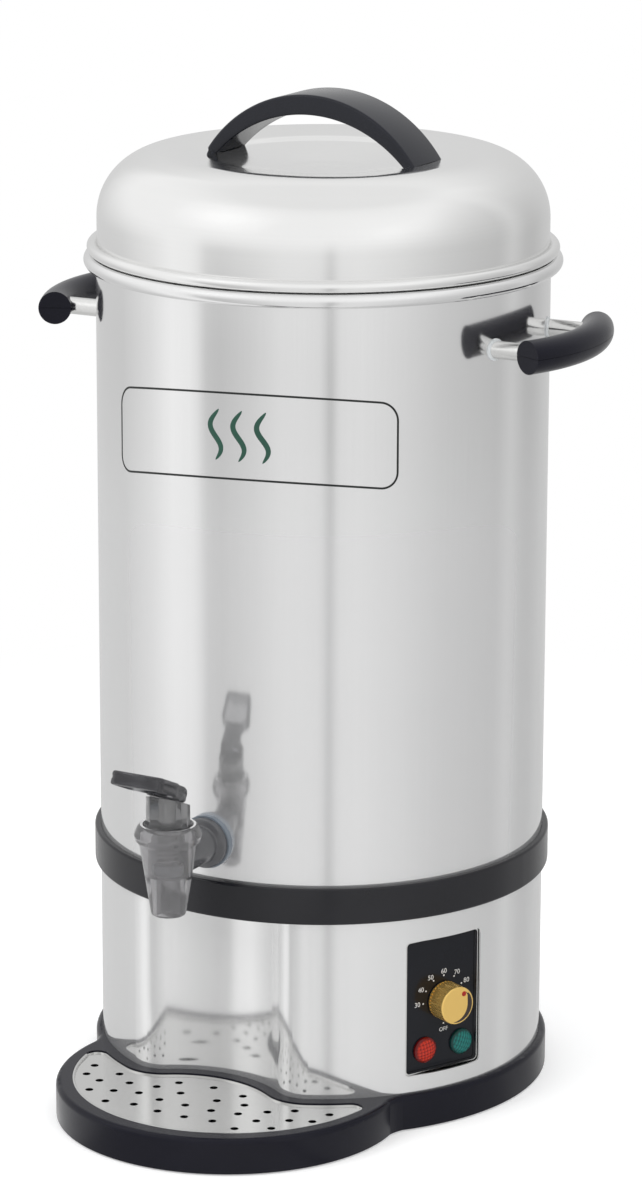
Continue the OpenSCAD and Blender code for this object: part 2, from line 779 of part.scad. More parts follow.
// Closing spring between cup and bonnet: one unbroken tube along a helix
spring_wire = 1.2;
spring_d = 14;
spring_turns = 4;
spring_z0 = cup_z0 + cup_h + spring_wire / 2 + 0.05;
spring_z1 = collar_z1 - plug_h - spring_wire / 2 - 0.05;
spring_steps = 8 * spring_turns;

function spring_at(i) = let (a = 360 * i / 8) [spring_d / 2 * cos(a), spring_d / 2 * sin(a), spring_z0 + (spring_z1 - spring_z0) * i / spring_steps];

module tap_spring() {
    n = 6;
    rings = [for (i = [0 : spring_steps]) let (a = 360 * i / 8, c = spring_at(i))
        for (k = [0 : n - 1]) let (b = 360 * k / n)
            c + spring_wire / 2 * [cos(b) * cos(a), cos(b) * sin(a), sin(b)]];
    sides = [for (i = [0 : spring_steps - 1], k = [0 : n - 1])
        let (p = i * n + k, q = i * n + (k + 1) % n)
        each [[p, p + n, q], [q, p + n, q + n]]];
    ends = [for (k = [1 : n - 2]) each [[0, k, k + 1], [spring_steps * n, spring_steps * n + k + 1, spring_steps * n + k]]];
    color(bright) translate([0, -tap_r, 0]) polyhedron(points = rings, faces = concat(sides, ends));
}
pitch = (spring_z1 - spring_z0) / spring_turns;
echo(str("least gap between the spring's turns: ", pitch - spring_wire));

// The lever in its own frame: forwards along -Y, the pin at the origin
head_front = 10;
head_back = 8.5;
head_low = 3.6;
slot_w = stem_d + 0.8;
slot_top = norm([stem_top, stem_eye]) + lift_gap;
head_top = slot_top + 1.3;

// Outline of the spade in front of the head, drawn in by t: a neck, a flare and a paddle with round corners
flare_0 = head_front + 1;
flare_1 = head_front + 10;
corner_r = 5;

function lever_corner(side, t) = [for (a = [0 : 15 : 90]) let (b = side > 0 ? a : 180 - 90 + a)
    [side * (paddle_w / 2 - corner_r) + (corner_r - t) * cos(b), lever_l - corner_r + (corner_r - t) * sin(b)]];
function lever_plan(start, t) = concat([[-neck_w / 2 + t, start], [neck_w / 2 - t, start]],
    [[neck_w / 2 - t, flare_0 + t], [paddle_w / 2 - t, flare_1 + t]],
    lever_corner(1, t), lever_corner(-1, t),
    [[-paddle_w / 2 + t, flare_1 + t], [-neck_w / 2 + t, flare_0 + t]]);

module tap_lever() {
    color(smoke) translate([0, -tap_r, pin_z]) rotate([-lever_rise, 0, 0]) difference() {
        union() {
            rotate([90, 0, 90]) translate([0, 0, -head_w / 2]) linear_extrude(height = head_w)
                polygon([[-head_front, -head_low], [head_back - 1.5, -head_low], [head_back, -head_low + 2],
                    [head_back, head_top - 4.5], [head_back - 1.3, head_top - 1.5], [head_back - 4.5, head_top],
                    [-head_front + 2, head_top], [-head_front, head_top - 1]]);
            mirror([0, 1, 0]) translate([0, 0, -head_low]) linear_extrude(height = lever_t)
                polygon(lever_plan(head_front - 4, 0));
        }
        // Hollow underside of the paddle
        mirror([0, 1, 0]) translate([0, 0, -head_low - over]) linear_extrude(height = lever_t - 1.8 + over)
            polygon(lever_plan(head_front + 2, 3));
        // Slot for the stem's eye, and the pin's bore
        translate([-slot_w / 2, -4.6, -head_low - over]) cube([slot_w, 10, head_low + over + slot_top]);
        rotate([0, 90, 0]) cylinder(d = pin_d + 2 * run, h = 2 * head_w, center = true);
    }
}

module tap_lever_pin() {
    color(bright) translate([0, -tap_r, pin_z]) rotate([0, 90, 0]) cylinder(d = pin_d, h = head_w - 1, center = true);
}

module tap_outer_seal() {
    color("#c7d5da") difference() {
        outward(seal_d / 2, tank_r - 15, seal_y, 0, tap_z);
        translate([0, 0, tap_z - 40]) cylinder(r = tank_r, h = 80, $fn = 360);
        outward(thread_d / 2 + fit, tank_r - 20, tank_r + 20, 0, tap_z);
    }
}

module tap_inner_seal() {
    color("#e3e6e6") intersection() {
        difference() {
            outward(seal_d / 2 - 1, nut_y0, tank_r + 5, 0, tap_z);
            outward(thread_d / 2 + fit, tank_r - 25, tank_r + 20, 0, tap_z);
        }
        translate([0, 0, tap_z - 40]) cylinder(r = tank_r - sheet, h = 80, $fn = 360);
    }
}

module tap_nut() {
    color(bright) difference() {
        translate([0, -nut_y0 + nut_t, tap_z]) rotate([90, 0, 0]) cylinder(d = 1.55 * thread_d, h = nut_t, $fn = 6);
        outward(thread_d / 2 + fit, nut_y0 - nut_t - over, nut_y0 + over, 0, tap_z);
    }
}

// Controls, built facing -Y and turned to the panel's azimuth

frame_front = sqrt(pow(tank_r, 2) - pow(cut_w / 2 + abs(panel_x), 2)) - 0.2;
panel_y = frame_front - panel_deep;
knob_gap = 0.8;
knob_y = panel_y + knob_gap;
bush_d = 10;
bush_out = 4;
lamp_neck = 9.8;

module panel_frame() {
    w = panel_w + 2 * fit;
    h = panel_h + 2 * fit;
    color(bright) facing(panel_az) {
        plate(panel_y - panel_t - 1, frame_front, panel_x, panel_z) difference() { rounded(w + 2 * frame_t - 2 * fit, h + 2 * frame_t - 2 * fit, panel_r); rounded(w, h, panel_r - 0.6); }
        plate(panel_y - panel_t - 1, panel_y - panel_t, panel_x, panel_z) difference() { rounded(w + 2 * frame_t - 2 * fit, h + 2 * frame_t - 2 * fit, panel_r); rounded(w - 4, h - 4, panel_r - 0.6); }
        plate(panel_y - panel_t - 1, panel_y - panel_t, panel_x, panel_z) difference() { rounded(w + 2 * frame_t + 8, h + 2 * frame_t + 8, panel_r); rounded(w + 1, h + 1, panel_r); }
    }
}

module control_panel() {
    color(black) facing(panel_az) difference() {
        plate(panel_y - panel_t, panel_y, panel_x, panel_z) rounded(panel_w, panel_h, panel_r - 0.6);
        outward(bush_d / 2 + fit, panel_y - 10, panel_y + 10, 0, panel_z);
        for (s = [-1, 1]) outward(lamp_neck / 2 + fit, panel_y - 10, panel_y + 10, s * lamp_x, panel_z - lamp_down);
    }
}

crescent_r = knob_d / 2 - 1.8;
crescent_t = 0.6;
crescent_off = crescent_r * 0.49;
dot_r = 8.4;
function clock(a, r) = [r * sin(a), r * cos(a)];

// Crescent on the knob's face, thickest two thirds of a right angle past the dot
module crescent(o) {
    difference() {
        circle(r = crescent_r - o);
        translate(clock(knob_at + 70 + 180, crescent_off)) circle(r = crescent_r + crescent_off * 0.56 + o);
    }
}

module knob() {
    color(gold) facing(panel_az) translate([0, -knob_y, panel_z]) rotate([90, 0, 0]) difference() {
        rotate_extrude() {
            translate([0, 0]) square([knob_d / 2, knob_h - 1]);
            translate([0, 0]) square([knob_d / 2 - 1, knob_h]);
            translate([knob_d / 2 - 1, knob_h - 1]) circle(r = 1, $fn = 32);
        }
        translate([0, 0, -over]) cylinder(r = knob_d / 2 - 2.5, h = bush_out + 1 + over);
        cylinder(d = shaft_d + 2 * run, h = knob_h - 3);
        translate([0, 0, knob_h - crescent_t]) linear_extrude(height = 2) crescent(0);
        translate([dot_r * sin(knob_at), dot_r * cos(knob_at), knob_h - 0.8]) cylinder(r = 1.2, h = 2, $fn = 24);
        for (a = [0 : 10 : 350]) rotate([0, 0, a]) translate([knob_d / 2 + 0.25, 0, 1]) cylinder(r = 0.6, h = knob_h - 2.5, $fn = 16);
    }
}

module knob_crescent() {
    color("#3b2a20") facing(panel_az) translate([0, -knob_y, panel_z]) rotate([90, 0, 0])
        translate([0, 0, knob_h - crescent_t]) linear_extrude(height = crescent_t - 0.1) crescent(run);
}

module knob_dot() {
    color("#c8202a") facing(panel_az) translate([0, -knob_y, panel_z]) rotate([90, 0, 0])
        translate([dot_r * sin(knob_at), dot_r * cos(knob_at), knob_h - 0.8]) cylinder(r = 1.2 - run, h = 0.9, $fn = 24);
}

stat_w = 36;
stat_h = 40;
stat_d = 26;
stat_y = panel_y - panel_t;

module thermostat() {
    color("#8d8f92") facing(panel_az) difference() {
        union() {
            plate(stat_y - stat_d, stat_y, 0, panel_z + 4) square([stat_w, stat_h], center = true);
            outward(bush_d / 2, stat_y - 1, panel_y + bush_out, 0, panel_z);
        }
        outward(shaft_d / 2 + run, stat_y - 12, panel_y + bush_out + over, 0, panel_z);
    }
}

module thermostat_shaft() {
    color(bright) facing(panel_az) outward(shaft_d / 2, stat_y - 11, knob_y + knob_h - 3.2, 0, panel_z);
}

module thermostat_nut() {
    color(bright) facing(panel_az) difference() {
        translate([0, -panel_y, panel_z]) rotate([90, 0, 0]) cylinder(d = 1.5 * bush_d, h = 2.6, $fn = 6);
        outward(bush_d / 2 + run, panel_y - over, panel_y + 5, 0, panel_z);
    }
}

module lamp(s) {
    facing(panel_az) translate([s * lamp_x, -panel_y, panel_z - lamp_down]) rotate([90, 0, 0]) {
        rotate_extrude() {
            square([lamp_d / 2, 2.4]);
            translate([0, 2.4]) square([lamp_d / 2 - 1.6, 1.6]);
            intersection() {
                translate([lamp_d / 2 - 1.6, 2.4]) circle(r = 1.6, $fn = 32);
                translate([0, 2.4]) square([lamp_d, 2]);
            }
        }
        translate([0, 0, -panel_t - 4]) cylinder(d = lamp_neck, h = panel_t + 4.5);
    }
}

module red_lamp() { color("#b3131c") lamp(-1); }
module green_lamp() { color("#1f7a3a") lamp(1); }

module lamp_sockets() {
    color("#d9d6cb") facing(panel_az) for (s = [-1, 1]) difference() {
        outward(lamp_neck / 2 + 1.8, stat_y - 20, stat_y, s * lamp_x, panel_z - lamp_down);
        outward(lamp_neck / 2 + run, stat_y - 4 - run, stat_y + over, s * lamp_x, panel_z - lamp_down);
    }
}

// Heating and wiring inside the lower shell

module heat_plate() {
    color("#b9bcc0") translate([0, 0, tank_z0 - plate_t]) cylinder(r = plate_r, h = plate_t);
}

ring_z = tank_z0 - plate_t - ring_d / 2;
ring_gap = 20;
ring_leg = 22;

module heating_ring() {
    color("#77797c") {
        translate([0, 0, ring_z]) rotate([0, 0, 90 + ring_gap]) rotate_extrude(angle = 360 - 2 * ring_gap) translate([ring_r0, 0]) circle(d = ring_d, $fn = 48);
        for (s = [-1, 1]) rotate([0, 0, 90 + s * ring_gap]) translate([ring_r0, 0, ring_z - ring_leg]) cylinder(d = ring_d, h = ring_leg);
    }
}

module thermal_cutout() {
    color("#2f3033") translate([0, 0, tank_z0 - plate_t - 10]) cylinder(d = 17, h = 10);
}

block_l = 44;
block_w = 22;
block_h = 20;

module terminal_block() {
    color("#e6e2d6") difference() {
        translate([-block_l / 2, 30, ledge_z0]) cube([block_l, block_w, block_h]);
        for (i = [-1.5 : 1 : 1.5]) translate([i * block_l / 4.4, 30 + block_w / 2, ledge_z0 + 8]) cylinder(d = 5, h = block_h, $fn = 24);
    }
}

module tie_rods() {
    color(bright) for (p = rods_at) translate([p[0], p[1], base_z0 + 0.5]) cylinder(d = rod_d, h = tank_z0 - base_z0 - 0.5);
}

module tie_nuts() {
    color(bright) for (p = rods_at) translate([p[0], p[1], cover_z0 - 4]) difference() {
        cylinder(d = 1.9 * rod_d, h = 4, $fn = 6);
        translate([0, 0, -over]) cylinder(d = rod_d + 2 * run, h = 4 + 2 * over);
    }
}

gland_hex = 1.45 * gland_d;
module cable_gland() {
    color(black) facing(180) difference() {
        union() {
            outward(gland_d / 2, tank_r - 14, tank_r + 3, 0, gland_z);
            translate([0, -tank_r, gland_z]) rotate([90, 0, 0]) cylinder(d = gland_hex, h = 6, $fn = 6);
            outward(gland_d * 0.62, tank_r + 5, tank_r + 14, 0, gland_z);
            translate([0, -tank_r - 14, gland_z]) rotate([90, 0, 0]) cylinder(r1 = gland_d * 0.62, r2 = gland_d * 0.42, h = 6);
        }
        outward(gland_bore / 2, tank_r - 20, tank_r + 30, 0, gland_z);
    }
}

gland_seat = sqrt(pow(tank_r - sheet, 2) - pow(gland_hex / 2, 2)) - 0.1;
module gland_nut() {
    color(black) facing(180) difference() {
        translate([0, -gland_seat + 5, gland_z]) rotate([90, 0, 0]) cylinder(d = gland_hex, h = 5, $fn = 6);
        outward(gland_d / 2 + run, gland_seat - 10, gland_seat + 5, 0, gland_z);
    }
}

tank();
lower_shell();
niche_panel();
joint_band();
base();
bottom_cover();
feet();
drip_grid();
lid();
lid_handle();
lid_handle_screws();
left_posts();
left_grip_upper();
left_grip_lower();
left_washers();
left_screws();
left_grip_screws();
right_posts();
right_grip_upper();
right_grip_lower();
right_washers();
right_screws();
right_grip_screws();
tap_body();
tap_bonnet();
tap_lever();
tap_lever_pin();
tap_stem();
tap_seat_cup();
tap_spring();
tap_outer_seal();
tap_inner_seal();
tap_nut();
panel_frame();
control_panel();
knob();
knob_crescent();
knob_dot();
thermostat();
thermostat_shaft();
thermostat_nut();
red_lamp();
green_lamp();
lamp_sockets();
heat_plate();
heating_ring();
thermal_cutout();
terminal_block();
tie_rods();
tie_nuts();
cable_gland();
gland_nut();
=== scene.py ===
import json
import math

import bmesh
import bpy
import numpy as np
from mathutils import Matrix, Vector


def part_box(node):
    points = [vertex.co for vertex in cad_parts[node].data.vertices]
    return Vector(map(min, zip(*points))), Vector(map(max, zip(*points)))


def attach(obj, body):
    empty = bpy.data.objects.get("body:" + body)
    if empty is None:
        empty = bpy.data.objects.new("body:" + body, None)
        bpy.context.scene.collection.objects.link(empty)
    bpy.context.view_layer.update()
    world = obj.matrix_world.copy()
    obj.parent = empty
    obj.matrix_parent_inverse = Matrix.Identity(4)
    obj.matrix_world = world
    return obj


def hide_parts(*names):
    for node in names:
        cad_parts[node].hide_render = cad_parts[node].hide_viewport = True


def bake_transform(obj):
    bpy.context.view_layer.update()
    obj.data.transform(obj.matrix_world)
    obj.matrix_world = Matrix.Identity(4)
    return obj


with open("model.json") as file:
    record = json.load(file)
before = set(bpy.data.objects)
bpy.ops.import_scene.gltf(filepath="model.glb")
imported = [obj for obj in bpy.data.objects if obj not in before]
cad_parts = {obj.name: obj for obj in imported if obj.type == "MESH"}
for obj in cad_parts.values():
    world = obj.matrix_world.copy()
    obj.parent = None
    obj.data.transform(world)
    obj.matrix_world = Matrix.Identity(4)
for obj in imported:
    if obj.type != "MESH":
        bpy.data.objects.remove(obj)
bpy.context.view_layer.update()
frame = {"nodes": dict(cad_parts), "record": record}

nodes = frame["nodes"]
mm = 0.001
fullTurn = 2 * math.pi
upAxis = np.array([0, 0, 1.0])
tankRadius = 140 * mm
print("frame loaded:", len(nodes), "nodes")


# Mesh helpers: every new piece is a grid of points or a profile carried along a path

def linkObject(name, data):
    piece = bpy.data.objects.new(name, data)
    bpy.context.scene.collection.objects.link(piece)
    return piece


def meshObject(name, points, faces, sharpDeg=40):
    # points that fall together are one, so seams and poles are closed
    points = np.round(np.asarray(points, float).reshape(-1, 3), 7)
    points, weld = np.unique(points, axis=0, return_inverse=True)
    faces = weld.reshape(-1)[np.asarray(faces)]
    pinched = (faces == np.roll(faces, 1, 1)).any(1)
    corners = [list(dict.fromkeys(face)) for face in faces[pinched].tolist()]
    corners = [face for face in corners if len(face) > 2]
    mesh = bpy.data.meshes.new(name)
    mesh.from_pydata(points.tolist(), [], faces[~pinched].tolist() + corners)
    mesh.update()
    mesh.polygons.foreach_set("use_smooth", np.ones(len(mesh.polygons), bool))
    mesh.set_sharp_from_angle(angle=math.radians(sharpDeg))
    return linkObject(name, mesh)


def meshPoints(mesh):
    # a mesh's points as rows of x, y, z
    points = np.empty(len(mesh.vertices) * 3)
    mesh.vertices.foreach_get("co", points)
    return points.reshape(-1, 3)


def gridFaces(rows, cols, closeU=False, closeV=False):
    # quads between neighbouring rows and columns of a grid, wrapped round where it is closed
    index = np.arange(rows * cols).reshape(rows, cols)
    if closeU:
        index = np.vstack([index, index[:1]])
    if closeV:
        index = np.hstack([index, index[:, :1]])
    return np.stack([index[:-1, :-1], index[1:, :-1], index[1:, 1:], index[:-1, 1:]], -1).reshape(-1, 4)


def joinGrids(name, grids, sharpDeg=40):
    # several grids as one mesh; each entry is (points, closeU, closeV)
    points, faces, start = [], [], 0
    for grid, closeU, closeV in grids:
        rows, cols = grid.shape[:2]
        points.append(grid.reshape(-1, 3))
        faces.append(gridFaces(rows, cols, closeU, closeV) + start)
        start += rows * cols
    return meshObject(name, np.concatenate(points), np.concatenate(faces), sharpDeg)


def gridPiece(name, points, closeU=False, closeV=False, sharpDeg=40):
    # a piece of one grid
    return joinGrids(name, [(points, closeU, closeV)], sharpDeg)


def fillet(corners, radii, steps=6):
    # an open run of corners with an arc in place of each one that has a radius
    corners = np.asarray(corners, float)
    run = [corners[:1]]
    for before, corner, after, radius in zip(corners[:-2], corners[1:-1], corners[2:], radii):
        toBack, toNext = before - corner, after - corner
        toBack, toNext = toBack / np.linalg.norm(toBack), toNext / np.linalg.norm(toNext)
        half = math.acos(np.clip(toBack @ toNext, -1, 1)) / 2
        if radius <= 0 or half > math.radians(89):  # sharp, or nearly straight
            run.append(corner[None])
            continue
        middle = corner + (toBack + toNext) / np.linalg.norm(toBack + toNext) * radius / math.sin(half)
        first = corner + toBack * radius / math.tan(half) - middle
        last = corner + toNext * radius / math.tan(half) - middle
        sweep = math.atan2(first[0] * last[1] - first[1] * last[0], first @ last)
        t = np.linspace(0, sweep, steps + 1)
        x = first[0] * np.cos(t) - first[1] * np.sin(t)
        y = first[0] * np.sin(t) + first[1] * np.cos(t)
        run.append(middle + np.stack([x, y], -1))
    run.append(corners[-1:])
    return np.concatenate(run)


def filletLoop(corners, radii, steps=6):
    # the same for a closed outline
    corners = list(map(list, corners))
    return fillet([corners[-1], *corners, corners[0]], radii, steps)[1:-1]


def circle(count):
    # even points of a circle of radius 1
    t = np.linspace(0, fullTurn, count, endpoint=False)
    return np.stack([np.cos(t), np.sin(t)], -1)


def arcRun(centre, radius, fromDeg, toDeg, steps):
    # even points of an arc
    t = np.radians(np.linspace(fromDeg, toDeg, steps))
    return np.asarray(centre) + radius * np.stack([np.cos(t), np.sin(t)], -1)


def revolve(profile, around, cols):
    # a profile of (radius, height) turned about an axis; around holds its foot and the ways right, ahead, up
    foot, right, ahead, up = (np.asarray(v, float) for v in around)
    way = circle(cols)
    ring = way[:, :1] * right + way[:, 1:] * ahead
    profile = np.asarray(profile, float)
    return foot + profile[:, None, :1] * ring[None] + profile[:, None, 1:] * up


def roundedBar(width, height, corner, steps):
    # closed outline of a rectangle with round corners, as unit arcs pushed out to the corners
    corner = min(corner, min(width, height) / 2 - 1e-6)  # leaves a trace of each straight side
    t = np.radians(np.concatenate([np.linspace(k * 90, k * 90 + 90, steps + 1) for k in range(4)]))
    push = np.repeat([[1, 1], [-1, 1], [-1, -1], [1, -1]], steps + 1, 0)
    arcs = np.stack([np.cos(t), np.sin(t)], -1) * corner
    return arcs + push * (np.array([width, height]) / 2 - corner)


def capped(grid):
    # closes both open ends of a tube of points with a fan to the end's middle
    first, last = (np.broadcast_to(end.mean(1, keepdims=True), end.shape) for end in (grid[:1], grid[-1:]))
    return np.concatenate([first, grid, last])


def smoothRun(value, start, end):
    # 0 up to start, 1 from end on, eased between them
    t = np.clip((value - start) / (end - start), 0, 1)
    return t * t * (3 - 2 * t)


def finishPiece(piece, finish, body, replaced=()):
    # finish, body and slot of a piece, and the nodes it stands for
    piece.data.materials.append(paints[finish])
    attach(piece, body)
    if replaced:
        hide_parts(*replaced)


# Shader helpers: a wire is a socket that takes part in Python arithmetic

def mathsNode(paint, operation, first, second):
    return paint.add("ShaderNodeMath", {"operation": operation}, {0: first, 1: second})


def operatorPair(operation):
    # an operator and its reflected form, each as a Math node
    return (lambda wire, other: mathsNode(wire.paint, operation, wire, other),
            lambda wire, other: mathsNode(wire.paint, operation, other, wire))


class Wire:
    __add__, __radd__ = operatorPair("ADD")
    __sub__, __rsub__ = operatorPair("SUBTRACT")
    __mul__, __rmul__ = operatorPair("MULTIPLY")
    __truediv__, __rtruediv__ = operatorPair("DIVIDE")
    __pow__, __rpow__ = operatorPair("POWER")

    def __init__(self, paint, socket):
        self.paint = paint
        self.socket = socket

    def maths(self, operation, other=0.0):
        return mathsNode(self.paint, operation, self, other)

    def swing(self, middle, width):
        # a noise that averages one half, spread about the middle
        return middle + (self - 0.5) * width


class Paint:
    def __init__(self, name, tree=None):
        self.material = None
        if tree is None:
            self.material = bpy.data.materials.new(name)
            self.material.use_nodes = True
            tree = self.material.node_tree
        self.tree = tree
        self.tree.nodes.clear()

    def add(self, kind, settings=None, values=None, output=0):
        node = self.tree.nodes.new(kind)
        for key, value in (settings or {}).items():
            if key == "stops":
                self.setStops(node.color_ramp, value)
            else:
                setattr(node, key, value)
        for key, value in (values or {}).items():
            self.feed(node.inputs[key], value)
        if isinstance(output, tuple):
            return [Wire(self, node.outputs[key]) for key in output]
        return Wire(self, node.outputs[output]) if node.outputs else None

    def feed(self, socket, value):
        if isinstance(value, Wire):
            self.tree.links.new(value.socket, socket)
        else:
            socket.default_value = value

    def setStops(self, ramp, stops):
        while len(ramp.elements) < len(stops):
            ramp.elements.new(0.5)
        for element, (place, colour) in zip(ramp.elements, stops):
            element.position = place
            element.color = (*colour, 1)

    def place(self):
        return self.add("ShaderNodeTexCoord", output="Object")

    def noise(self, where, scale, detail=2.0, rough=0.5):
        values = {"Vector": where, "Scale": scale, "Detail": detail, "Roughness": rough}
        return self.add("ShaderNodeTexNoise", {}, values, "Fac")

    def streaks(self, measure):
        # noise that changes along one measure only
        values = {"W": measure, "Scale": 1.0, "Detail": 3.0}
        return self.add("ShaderNodeTexNoise", {"noise_dimensions": "1D"}, values, "Fac")

    def stretch(self, where, scale):
        return self.add("ShaderNodeMapping", {}, {"Vector": where, "Scale": scale})

    def axes(self, where, kind="ShaderNodeSeparateXYZ"):
        return self.add(kind, {}, {0: where}, (0, 1, 2))

    def climb(self, value, start, end, low=0.0, high=1.0, kind="SMOOTHSTEP"):
        # low up to start, high from end on
        values = {0: value, 1: start, 2: end, 3: low, 4: high}
        return self.add("ShaderNodeMapRange", {"interpolation_type": kind}, values)

    def blendColour(self, factor, first, second):
        values = {0: factor, 6: (*first, 1), 7: (*second, 1)}
        return self.add("ShaderNodeMix", {"data_type": "RGBA"}, values, 2)

    def bump(self, height, strength, distance):
        return self.add("ShaderNodeBump", {}, {"Strength": strength, "Distance": distance, "Height": height})

    def finish(self, values):
        shader = self.add("ShaderNodeBsdfPrincipled", {}, values)
        self.add("ShaderNodeOutputMaterial", {}, {0: shader})
        return self.material


# Camera at the photograph's place, found by fitting outlines

photoCamera = {
    "azimuthDeg": 29.5, "distance": 2.74029, "height": 1.02973,
    "pitchDeg": 14.858, "yawDeg": 0.017, "rollDeg": 0.172, "lensMm": 135.52, "sensorMm": 36.0, "clipEnd": 60,
}


def axesMatrix(right, up, back, where):
    # three axes and a place as one matrix
    rows = np.eye(4)
    rows[:3] = np.stack([right, up, back, where], 1)
    return Matrix(rows.tolist())


def makeCamera(spec):
    # stands at its distance and height, looks at the kettle's axis, tips down by the pitch, then rolls
    azimuth = math.radians(spec["azimuthDeg"])
    turn = azimuth + math.radians(spec["yawDeg"])
    pitch, roll = math.radians(spec["pitchDeg"]), math.radians(spec["rollDeg"])
    ahead = np.array([-math.sin(turn), math.cos(turn), 0])
    right = np.array([math.cos(turn), math.sin(turn), 0])
    look = ahead * math.cos(pitch) - upAxis * math.sin(pitch)
    top = ahead * math.sin(pitch) + upAxis * math.cos(pitch)
    xAxis = right * math.cos(roll) + top * math.sin(roll)
    yAxis = -right * math.sin(roll) + top * math.cos(roll)
    where = [spec["distance"] * math.sin(azimuth), -spec["distance"] * math.cos(azimuth), spec["height"]]
    optics = bpy.data.cameras.new("photoCamera")
    optics.sensor_fit = "AUTO"
    optics.sensor_width = spec["sensorMm"]
    optics.lens = spec["lensMm"]
    optics.clip_end = spec["clipEnd"]
    camera = linkObject("photoCamera", optics)
    camera.matrix_world = axesMatrix(xAxis, yAxis, -look, where)
    bpy.context.scene.camera = camera


makeCamera(photoCamera)
print("camera placed")


# Studio: pale floor, soft lamps, and a wrap of white and grey cards that only reflections see

pureWhite = (1, 1, 1, 1)
studio = {
    "floorSize": 14.0, "floorCells": 9, "floorTone": 0.86, "floorLift": 0.38, "floorFade": (0.42, 1.0),
    "frontDeg": photoCamera["azimuthDeg"], "skyTint": (0.98, 0.99, 1, 1), "skyLight": 0.42,
    "skySeen": 1.0, "skyMirror": 0.90, "wrapRadius": 0.34, "wrapFoot": 0.002, "wrapHeight": 1.30,
    "wrapCols": 97, "wrapRows": 5, "wrapLight": 1.0, "wrapFadeFrom": 0.43, "wrapTopFrom": 0.80,
}
# cards round the object: place (0 at its left, 0.25 at the tap, 0.33 at the camera), tone, and the height
# over which the card fades to white
wrapCards = [
    (0.000, 0.66, 0.30), (0.055, 0.66, 0.22), (0.110, 0.82, 0.20), (0.148, 1.00, 0.20), (0.175, 0.96, 0.20),
    (0.186, 0.86, 0.20), (0.197, 0.64, 0.20), (0.215, 0.60, 0.20), (0.251, 0.70, 0.20), (0.285, 0.82, 0.20),
    (0.307, 0.83, 0.20), (0.330, 0.80, 0.20), (0.340, 0.56, 0.20), (0.350, 0.82, 0.20), (0.373, 0.84, 0.20),
    (0.419, 0.76, 0.25), (0.469, 0.65, 0.35), (0.511, 0.60, 0.50), (0.556, 0.56, 0.60), (0.584, 0.66, 0.60),
    (0.616, 0.54, 0.60), (0.638, 0.53, 0.60), (0.679, 0.60, 0.70), (0.800, 0.66, 0.75), (0.930, 0.66, 0.70),
    (0.965, 0.66, 0.40), (1.000, 0.66, 0.30),
]
lamps = {
    "keyLamp": {"where": (-1.2, -2.0, 2.4), "aim": (0, 0, 0.3), "size": (1.8, 1.4),
                "power": 34, "mirrored": True},
    "fillLamp": {"where": (2.4, -1.2, 1.8), "aim": (0, 0, 0.3), "size": (1.6, 1.6),
                 "power": 18, "mirrored": True},
    "topLamp": {"where": (0.0, 0.3, 2.6), "aim": (0, 0, 0), "size": (2.0, 2.0),
                "power": 26, "mirrored": False},
}


def rayKinds(paint):
    # rays straight from the camera, by way of a mirror, and through something clear
    kinds = ("Is Camera Ray", "Is Glossy Ray", "Is Transmission Ray")
    return paint.add("ShaderNodeLightPath", output=kinds)


def seenRays(paint):
    # 1 for what the camera sees, straight on or in a mirror
    straight, mirrored, through = rayKinds(paint)
    return straight.maths("MAXIMUM", mirrored.maths("MAXIMUM", through))


def makeWorld(spec):
    # white where it is seen, a little less in mirrors, and a soft light on the object
    world = bpy.data.worlds.new("studioWorld")
    world.use_nodes = True
    bpy.context.scene.world = world
    paint = Paint("studioWorld", world.node_tree)
    _, mirrored, _ = rayKinds(paint)
    level = spec["skySeen"] + mirrored * (spec["skyMirror"] - spec["skySeen"])
    white = paint.add("ShaderNodeBackground", {}, {0: pureWhite, 1: level})
    soft = paint.add("ShaderNodeBackground", {}, {0: spec["skyTint"], 1: spec["skyLight"]})
    mixed = paint.add("ShaderNodeMixShader", {}, {0: seenRays(paint), 1: soft, 2: white})
    paint.add("ShaderNodeOutputWorld", {}, {0: mixed})


def cardTone(paint, share, cards):
    # tone and fade height of the cards, by the share of the way round
    stops = [(at, (tone, rise, 0)) for at, tone, rise in cards]
    ramp = paint.add("ShaderNodeValToRGB", {"stops": stops}, {0: share})
    return paint.axes(ramp, "ShaderNodeSeparateColor")


